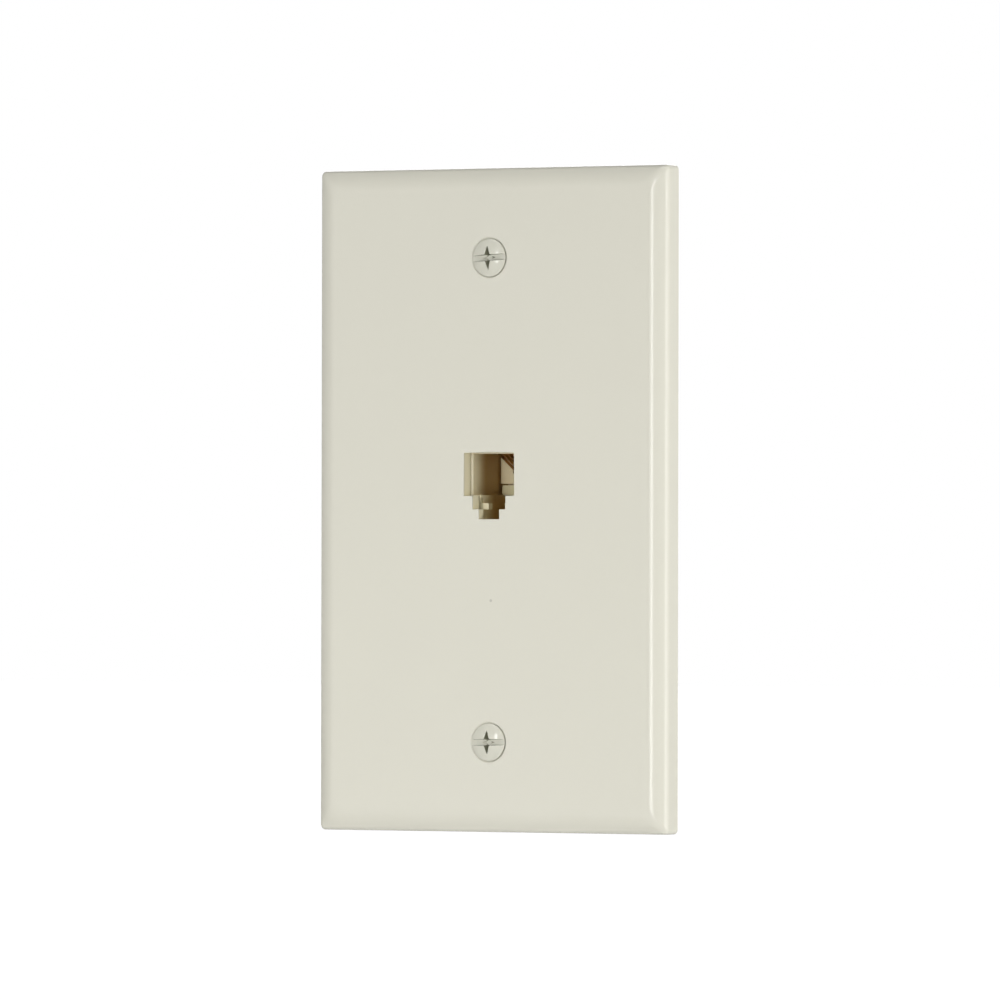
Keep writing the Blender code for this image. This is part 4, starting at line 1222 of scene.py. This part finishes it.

# %% [markdown]
# The screws were painted almond before they were put in. The cross and the slot's steep walls are a dark
# greenish grey, which is painted shade for how deep they lie, and it is strongest on the cross's right. The
# slot's floor and the pool of paint in the middle are light. To darken only what lies deep, the finish
# measures how far a place is below the dome's own curve, along and across the slot. The paint stops under
# the head. From there on the screw is bright zinc.

# %% Painted screws
PAINT = (0.64, 0.63, 0.54)
PAINT_IOR = 1.5
ZINC = (0.62, 0.63, 0.64, 1)
# painted shade for the deep parts of the cross and the slot's walls
RECESS_SHADE_GREY = (0.25, 0.25, 0.18, 1)
DOME_TOP_Y = FACE_Y - HEAD_DOME
CURVE_HEIGHT = HEAD_DOME - HEAD_ROUND
HEAD_CURVE = ((HEAD_RADIUS - 2 * HEAD_ROUND) ** 2 + CURVE_HEIGHT**2) / CURVE_HEIGHT
HEAD_FADE = [(radius * MM) ** 2 for radius in (2.9, 3.0)]  # squared, as the distance is
POOL_FADE = [(radius * MM) ** 2 for radius in (0.4, 0.6)]
FLOOR_FADE = (0.42 * MM, 0.5 * MM)  # from the slot's middle across
DARK_DEPTHS = (0.03 * MM, 0.2 * MM)

for place, (side, degrees) in SCREW_TURNS.items():
    painted = Finish(f"painted_screw_{place}", PAINT, 0.05)
    painted.shader.inputs["IOR"].default_value = PAINT_IOR
    x, y, z = painted.axes()
    cosine, sine = math.cos(math.radians(degrees)), math.sin(math.radians(degrees))
    up = z - side * SCREW_Z
    along = x * cosine + up * sine
    across = up * cosine - x * sine
    far_squared = along * along + across * across
    on_head = painted.fade(far_squared, *HEAD_FADE)
    below = y - DOME_TOP_Y - far_squared * (1 / HEAD_CURVE)
    # painted shade where the head lies deeper than its dome's curve, away from the slot's floor
    dark = painted.ramp(below, *DARK_DEPTHS) * painted.ramp(abs(across), *FLOOR_FADE) * on_head
    tint = painted.mix(painted.noise(0.8 * MM), painted.scaled(0.97), painted.scaled(1.03))
    tint = painted.mix(dark, tint, RECESS_SHADE_GREY)
    # more painted shade below the slot's floor in the cross, stronger towards its right
    under_slot = painted.ramp(y, SLOT_FLOOR_Y + 0.02 * MM, SLOT_FLOOR_Y + 0.1 * MM)
    in_cross = under_slot * painted.ramp(far_squared, *POOL_FADE)
    rightwards = painted.ramp(x, -0.3 * MM, 0.3 * MM) * 0.6 + 0.2
    tint = painted.mix(in_cross * on_head * rightwards, tint, RECESS_SHADE_GREY)
    under_head = painted.ramp(y, FACE_Y + CONE_DEPTH, FACE_Y + CONE_DEPTH + 0.2 * MM)
    painted.feed(
        base_color=painted.mix(under_head, tint, ZINC),
        metallic=under_head,
        roughness=painted.noise(0.6 * MM) * 0.03 + 0.06,
        normal=painted.bump(painted.noise(0.3 * MM), 0.001 * MM),
    )
    painted.wear(f"screw_{place}")

# %% [markdown]
# The jack and its insert are ivory, warmer than the plate. Deep in the plug's space the walls look brown.
# Part of that is light that has met the same warm walls several times, and the rest is painted shade: the
# colour goes from tan to brown with depth. More painted shade darkens the jack's front in the corners beside
# the tab, and a painted highlight brightens the rounded edges beside the plug's space. On the insert,
# painted shade browns the comb under the springs and the groove above the foot, and painted light makes the
# foot the palest place.

# %% Ivory jack
IVORY = (0.82, 0.75, 0.53)
IVORY_DEPTH_SHADE = (0.48, 0.31, 0.09, 1)
CORNER_SHADE = (0.42, 0.38, 0.22, 1)
CORNER_SHARE = 0.8
# painted highlight on the jack's front, at the rounded edges beside the plug's space
EDGE_HIGHLIGHT = (1.0, 0.93, 0.70, 1)
WHITE = (1, 1, 1, 1)
SPACE_MIDDLE = (SPACE_CEILING + DEEP_FLOOR) / 2
SPACE_REACH = (SPACE_CEILING - DEEP_FLOOR) / 2


def moulded(finish, tint, duller=0.0):
    """A plain moulded surface, uneven by a few hundredths, and rougher where duller is high."""
    finish.feed(
        base_color=finish.mix(finish.noise(4 * MM) * 0.06, tint, WHITE),
        roughness=finish.noise(2 * MM) * 0.1 + 0.38 + duller,
        normal=finish.bump(finish.noise(0.6 * MM), 0.003 * MM),
    )


ivory = Finish("ivory_plastic", IVORY, 0.3)
x, y, z = ivory.axes()
between_walls = ivory.fade(abs(x), SPACE_HALF, SPACE_HALF + 0.3 * MM)
level_with_plug = ivory.fade(abs(z - SPACE_MIDDLE), SPACE_REACH, SPACE_REACH + 0.3 * MM)
# painted shade: the walls of the plug's space go from tan to brown with depth
deep = ivory.ramp(y, JACK_FRONT_Y + 1.4 * MM, JACK_FRONT_Y + 4.8 * MM)
tint = ivory.mix(between_walls * level_with_plug * deep, ivory.colour, IVORY_DEPTH_SHADE)
in_corner = ivory.ramp(abs(x), 2.6 * MM, 2.9 * MM) * ivory.fade(abs(x), 3.6 * MM, 3.8 * MM)
beside_tab = ivory.ramp(z, DEEP_FLOOR, DEEP_FLOOR + 0.3 * MM) * ivory.fade(z, 0.2 * MM, 0.6 * MM)
at_front = ivory.fade(y, JACK_FRONT_Y + 0.5 * MM, JACK_FRONT_Y + 0.8 * MM)
tint = ivory.mix(in_corner * beside_tab * at_front * CORNER_SHARE, tint, CORNER_SHADE)
# painted highlight on the jack's front, at the rounded edges beside the plug's space
past_wall = ivory.ramp(abs(x), SPACE_HALF, SPACE_HALF + 0.03 * MM)
tint = ivory.mix(past_wall * ivory.fade(y, LEDGE_REAR_Y, LIP_REAR_Y), tint, EDGE_HIGHLIGHT)
moulded(ivory, tint)
ivory.wear("jack")

# %% Ivory insert
INSERT_IVORY = (0.94, 0.83, 0.54)
# painted shade, under the springs and in the groove between the foot and the comb
SHADE_BROWN = (0.34, 0.15, 0.03, 1)
# painted light: the foot is made paler than the rest of the same moulding
LIT_FOOT_IVORY = (1.0, 0.95, 0.62, 1)
SHADE_SLOPE = 0.83  # the painted shade's lower edge rises to both sides
SHADE_FADE = (4.0 * MM, 4.4 * MM)
UNDER_SPRINGS_DULLS = 0.5
GROOVE_MIDDLE = (GROOVE_Z + COMB_Z) / 2
GROOVE_SHADE_SHARE = 0.6

pale_ivory = Finish("insert_plastic", INSERT_IVORY, 0.3)
x, y, z = pale_ivory.axes()
in_front = pale_ivory.fade(y, SLOT_REAR_Y, SLOT_REAR_Y + 0.3 * MM)
# painted shade under the springs, its lower edge rising to both sides
under_springs = pale_ivory.ramp(z - abs(x) * SHADE_SLOPE, *SHADE_FADE) * in_front
tint = pale_ivory.mix(under_springs, pale_ivory.colour, SHADE_BROWN)
# painted light on the foot
on_foot = pale_ivory.fade(z, GROOVE_Z - 0.1 * MM, GROOVE_Z)
tint = pale_ivory.mix(on_foot, tint, LIT_FOOT_IVORY)
# painted shade in the groove between the foot and the comb
in_groove = pale_ivory.fade(abs(z - GROOVE_MIDDLE), 0.1 * MM, 0.15 * MM)
behind_foot = pale_ivory.ramp(y, COMB_FRONT_Y, COMB_FRONT_Y + 0.2 * MM)
tint = pale_ivory.mix(in_groove * behind_foot * in_front * GROOVE_SHADE_SHARE, tint, SHADE_BROWN)
moulded(pale_ivory, tint, under_springs * UNDER_SPRINGS_DULLS)
pale_ivory.wear("insert")

# %% [markdown]
# The metals come from one recipe: a base colour with a little tarnish in clouds, and a roughness that rises
# where the tarnish lies. Only the colours and the amounts differ. At a grazing angle a dark metal keeps
# some of its colour.

# %% Metals
NUMBERS = range(1, 5)
METALS = {  # colour, tarnished colour, roughness
    "gold_plating": ((0.42, 0.26, 0.10), (0.26, 0.15, 0.06), 0.3),
    "nickel_plating": ((0.68, 0.67, 0.63), (0.48, 0.46, 0.41), 0.25),
    "tin_plating": ((0.66, 0.66, 0.65), (0.42, 0.42, 0.41), 0.35),
}
PLATED = {
    "gold_plating": [f"spring_{i}" for i in NUMBERS],
    "nickel_plating": [f"{piece}_{i}" for piece in ("pan_screw", "washer") for i in NUMBERS],
    "tin_plating": [f"fork_lug_{colour}" for colour, side, row in LEADS],
}

for name, (colour, dull, roughness) in METALS.items():
    edge_tint = (*(min(2 * part, 1) for part in colour), 1)
    metal = Finish(name, colour, roughness, 1.0, specular_tint=edge_tint)
    tarnish = metal.ramp(metal.noise(1.5 * MM, 4.0, 0.6), 0.45, 0.75)
    metal.feed(
        base_color=metal.mix(tarnish, metal.colour, (*dull, 1)),
        roughness=tarnish * 0.15 + roughness,
        normal=metal.bump(metal.noise(0.2 * MM), 0.003 * MM),
    )
    metal.wear(*PLATED[name])

# %% [markdown]
# The leads' insulation is soft vinyl in the four old telephone colours. It is a little uneven along its
# length.

# %% Insulation
VINYL = {
    "black": (0.018, 0.018, 0.02),
    "yellow": (0.78, 0.58, 0.04),
    "green": (0.02, 0.24, 0.07),
    "red": (0.55, 0.02, 0.02),
}

for colour, tone in VINYL.items():
    vinyl = Finish(f"vinyl_{colour}", tone, 0.4)
    vinyl.feed(
        base_color=vinyl.mix(vinyl.noise(1.5 * MM), vinyl.scaled(0.85), vinyl.scaled(1.15)),
        roughness=vinyl.noise(0.8 * MM) * 0.2 + 0.32,
        normal=vinyl.bump(vinyl.noise(0.4 * MM), 0.006 * MM),
    )
    vinyl.wear(f"wire_{colour}")

# %% [markdown]
# The light is a product photographer's: eight soft lamps and a pale room. The key lamp is a narrow upright
# strip just left of the plate's axis. It draws the thin line along the face's rounding and the glints on
# the screws' heads. A wider lamp on the right draws the broad line along the side's rounding. One behind on
# the right lights the side wall, one on the left fills in weakly, and one lights the face from above. Two
# small low strips make the lower end of the plate a little brighter than the upper. Three of the lamps
# would draw lines that the photo does not have, so they are hidden from reflections. The last lamp keeps
# the rear readable.

# %% Lamps
LAMPS = {  # azimuth from the front towards the plate's right, elevation, distance, size, power
    "key": (-3.5, 0.5, 1.2, (0.15, 0.85), 3.8),
    "right": (67, 0, 1.0, (0.45, 0.6), 3.36),
    "right_rear": (110, 0, 1.0, (0.6, 1.2), 9.5),
    "left": (-35, 0, 1.2, (0.5, 0.9), 0.8),
    "above": (0, 60, 1.0, (0.8, 0.5), 3.78),
    "low_front": (-12, -20, 0.3, (0.35, 0.06), 0.31),
    "low_right": (70, -19, 0.33, (0.25, 0.06), 0.1),
    "rear": (200, 8, 1.2, (0.8, 0.8), 6.0),
}
UNREFLECTED = ("right_rear", "low_front", "low_right")

for name, (azimuth, elevation, distance, size, power) in LAMPS.items():
    back = outward(math.radians(azimuth), math.radians(elevation))
    bpy.ops.object.light_add(type="AREA", location=back * distance)
    lamp = bpy.context.object
    lamp.name = name
    lamp.data.shape = "RECTANGLE"
    lamp.data.size, lamp.data.size_y = size
    lamp.data.energy = power
    lamp.visible_camera = False
    lamp.visible_glossy = name not in UNREFLECTED
    lamp.rotation_mode = "QUATERNION"
    lamp.rotation_quaternion = (-back).to_track_quat("-Z", "Y")
print("lamps:", ", ".join(LAMPS))

# %% [markdown]
# The room is white to the camera and through glass, but as a light it is weak, so that the lamps shape the
# plate. Reflections see it at a strength between the two.

# %% Room
ROOM = 0.02
ROOM_IN_MIRRORS = 0.4
ROOM_SEEN = 1.0

world = bpy.data.worlds.new("pale_room")
world.use_nodes = True
bpy.context.scene.world = world
nodes, links = world.node_tree.nodes, world.node_tree.links
background = nodes["Background"]
background.inputs["Color"].default_value = WHITE
path = nodes.new("ShaderNodeLightPath")


def room_step(rays, strength, otherwise):
    """One strength for these rays, and for the rest another, or what an earlier step gives."""
    step = nodes.new("ShaderNodeMix")
    links.new(path.outputs[rays], step.inputs["Factor"])
    step.inputs["B"].default_value = strength
    if isinstance(otherwise, float):
        step.inputs["A"].default_value = otherwise
    else:
        links.new(otherwise, step.inputs["A"])
    return step.outputs["Result"]


room = room_step("Is Glossy Ray", ROOM_IN_MIRRORS, ROOM)
room = room_step("Is Transmission Ray", ROOM_SEEN, room)
room = room_step("Is Camera Ray", ROOM_SEEN, room)
links.new(room, background.inputs["Strength"])

# %% [markdown]
# The plate hangs by its screws, so the floor lies some way below it. Near the plate it is plain pale floor
# that keeps the plate's shadow, and farther off it fades into the white of the room.

# %% Floor
FLOOR_Z = -0.2
FLOOR_SIZE = 30
FLOOR_GREY = (0.75, 0.75, 0.75)
FLOOR_GLOW = 0.3
FADE_START = 0.35
FADE_END = 0.7

deselect()
bpy.ops.mesh.primitive_plane_add(size=FLOOR_SIZE, location=(0, 0, FLOOR_Z))
floor = bpy.context.object
floor.name = "floor"
pale = Finish("pale_floor", FLOOR_GREY, 0.9, emission_strength=1.0)
flat_place = pale.node("ShaderNodeVectorMath", {"operation": "MULTIPLY"}, {0: pale.place, 1: (1, 1, 0)})
away = pale.node("ShaderNodeVectorMath", {"operation": "LENGTH"}, {0: flat_place}, output="Value")
glow = pale.ramp(away, FADE_START, FADE_END) * (1 - FLOOR_GLOW) + FLOOR_GLOW
sight = pale.node("ShaderNodeLightPath", output="Is Camera Ray")
pale.feed(emission_color=glow * sight)
pale.wear("floor")

# %% [markdown]
# The view transform stays plain, so a colour comes out as it was written.

# %% Finish
bpy.context.scene.view_settings.view_transform = "Standard"
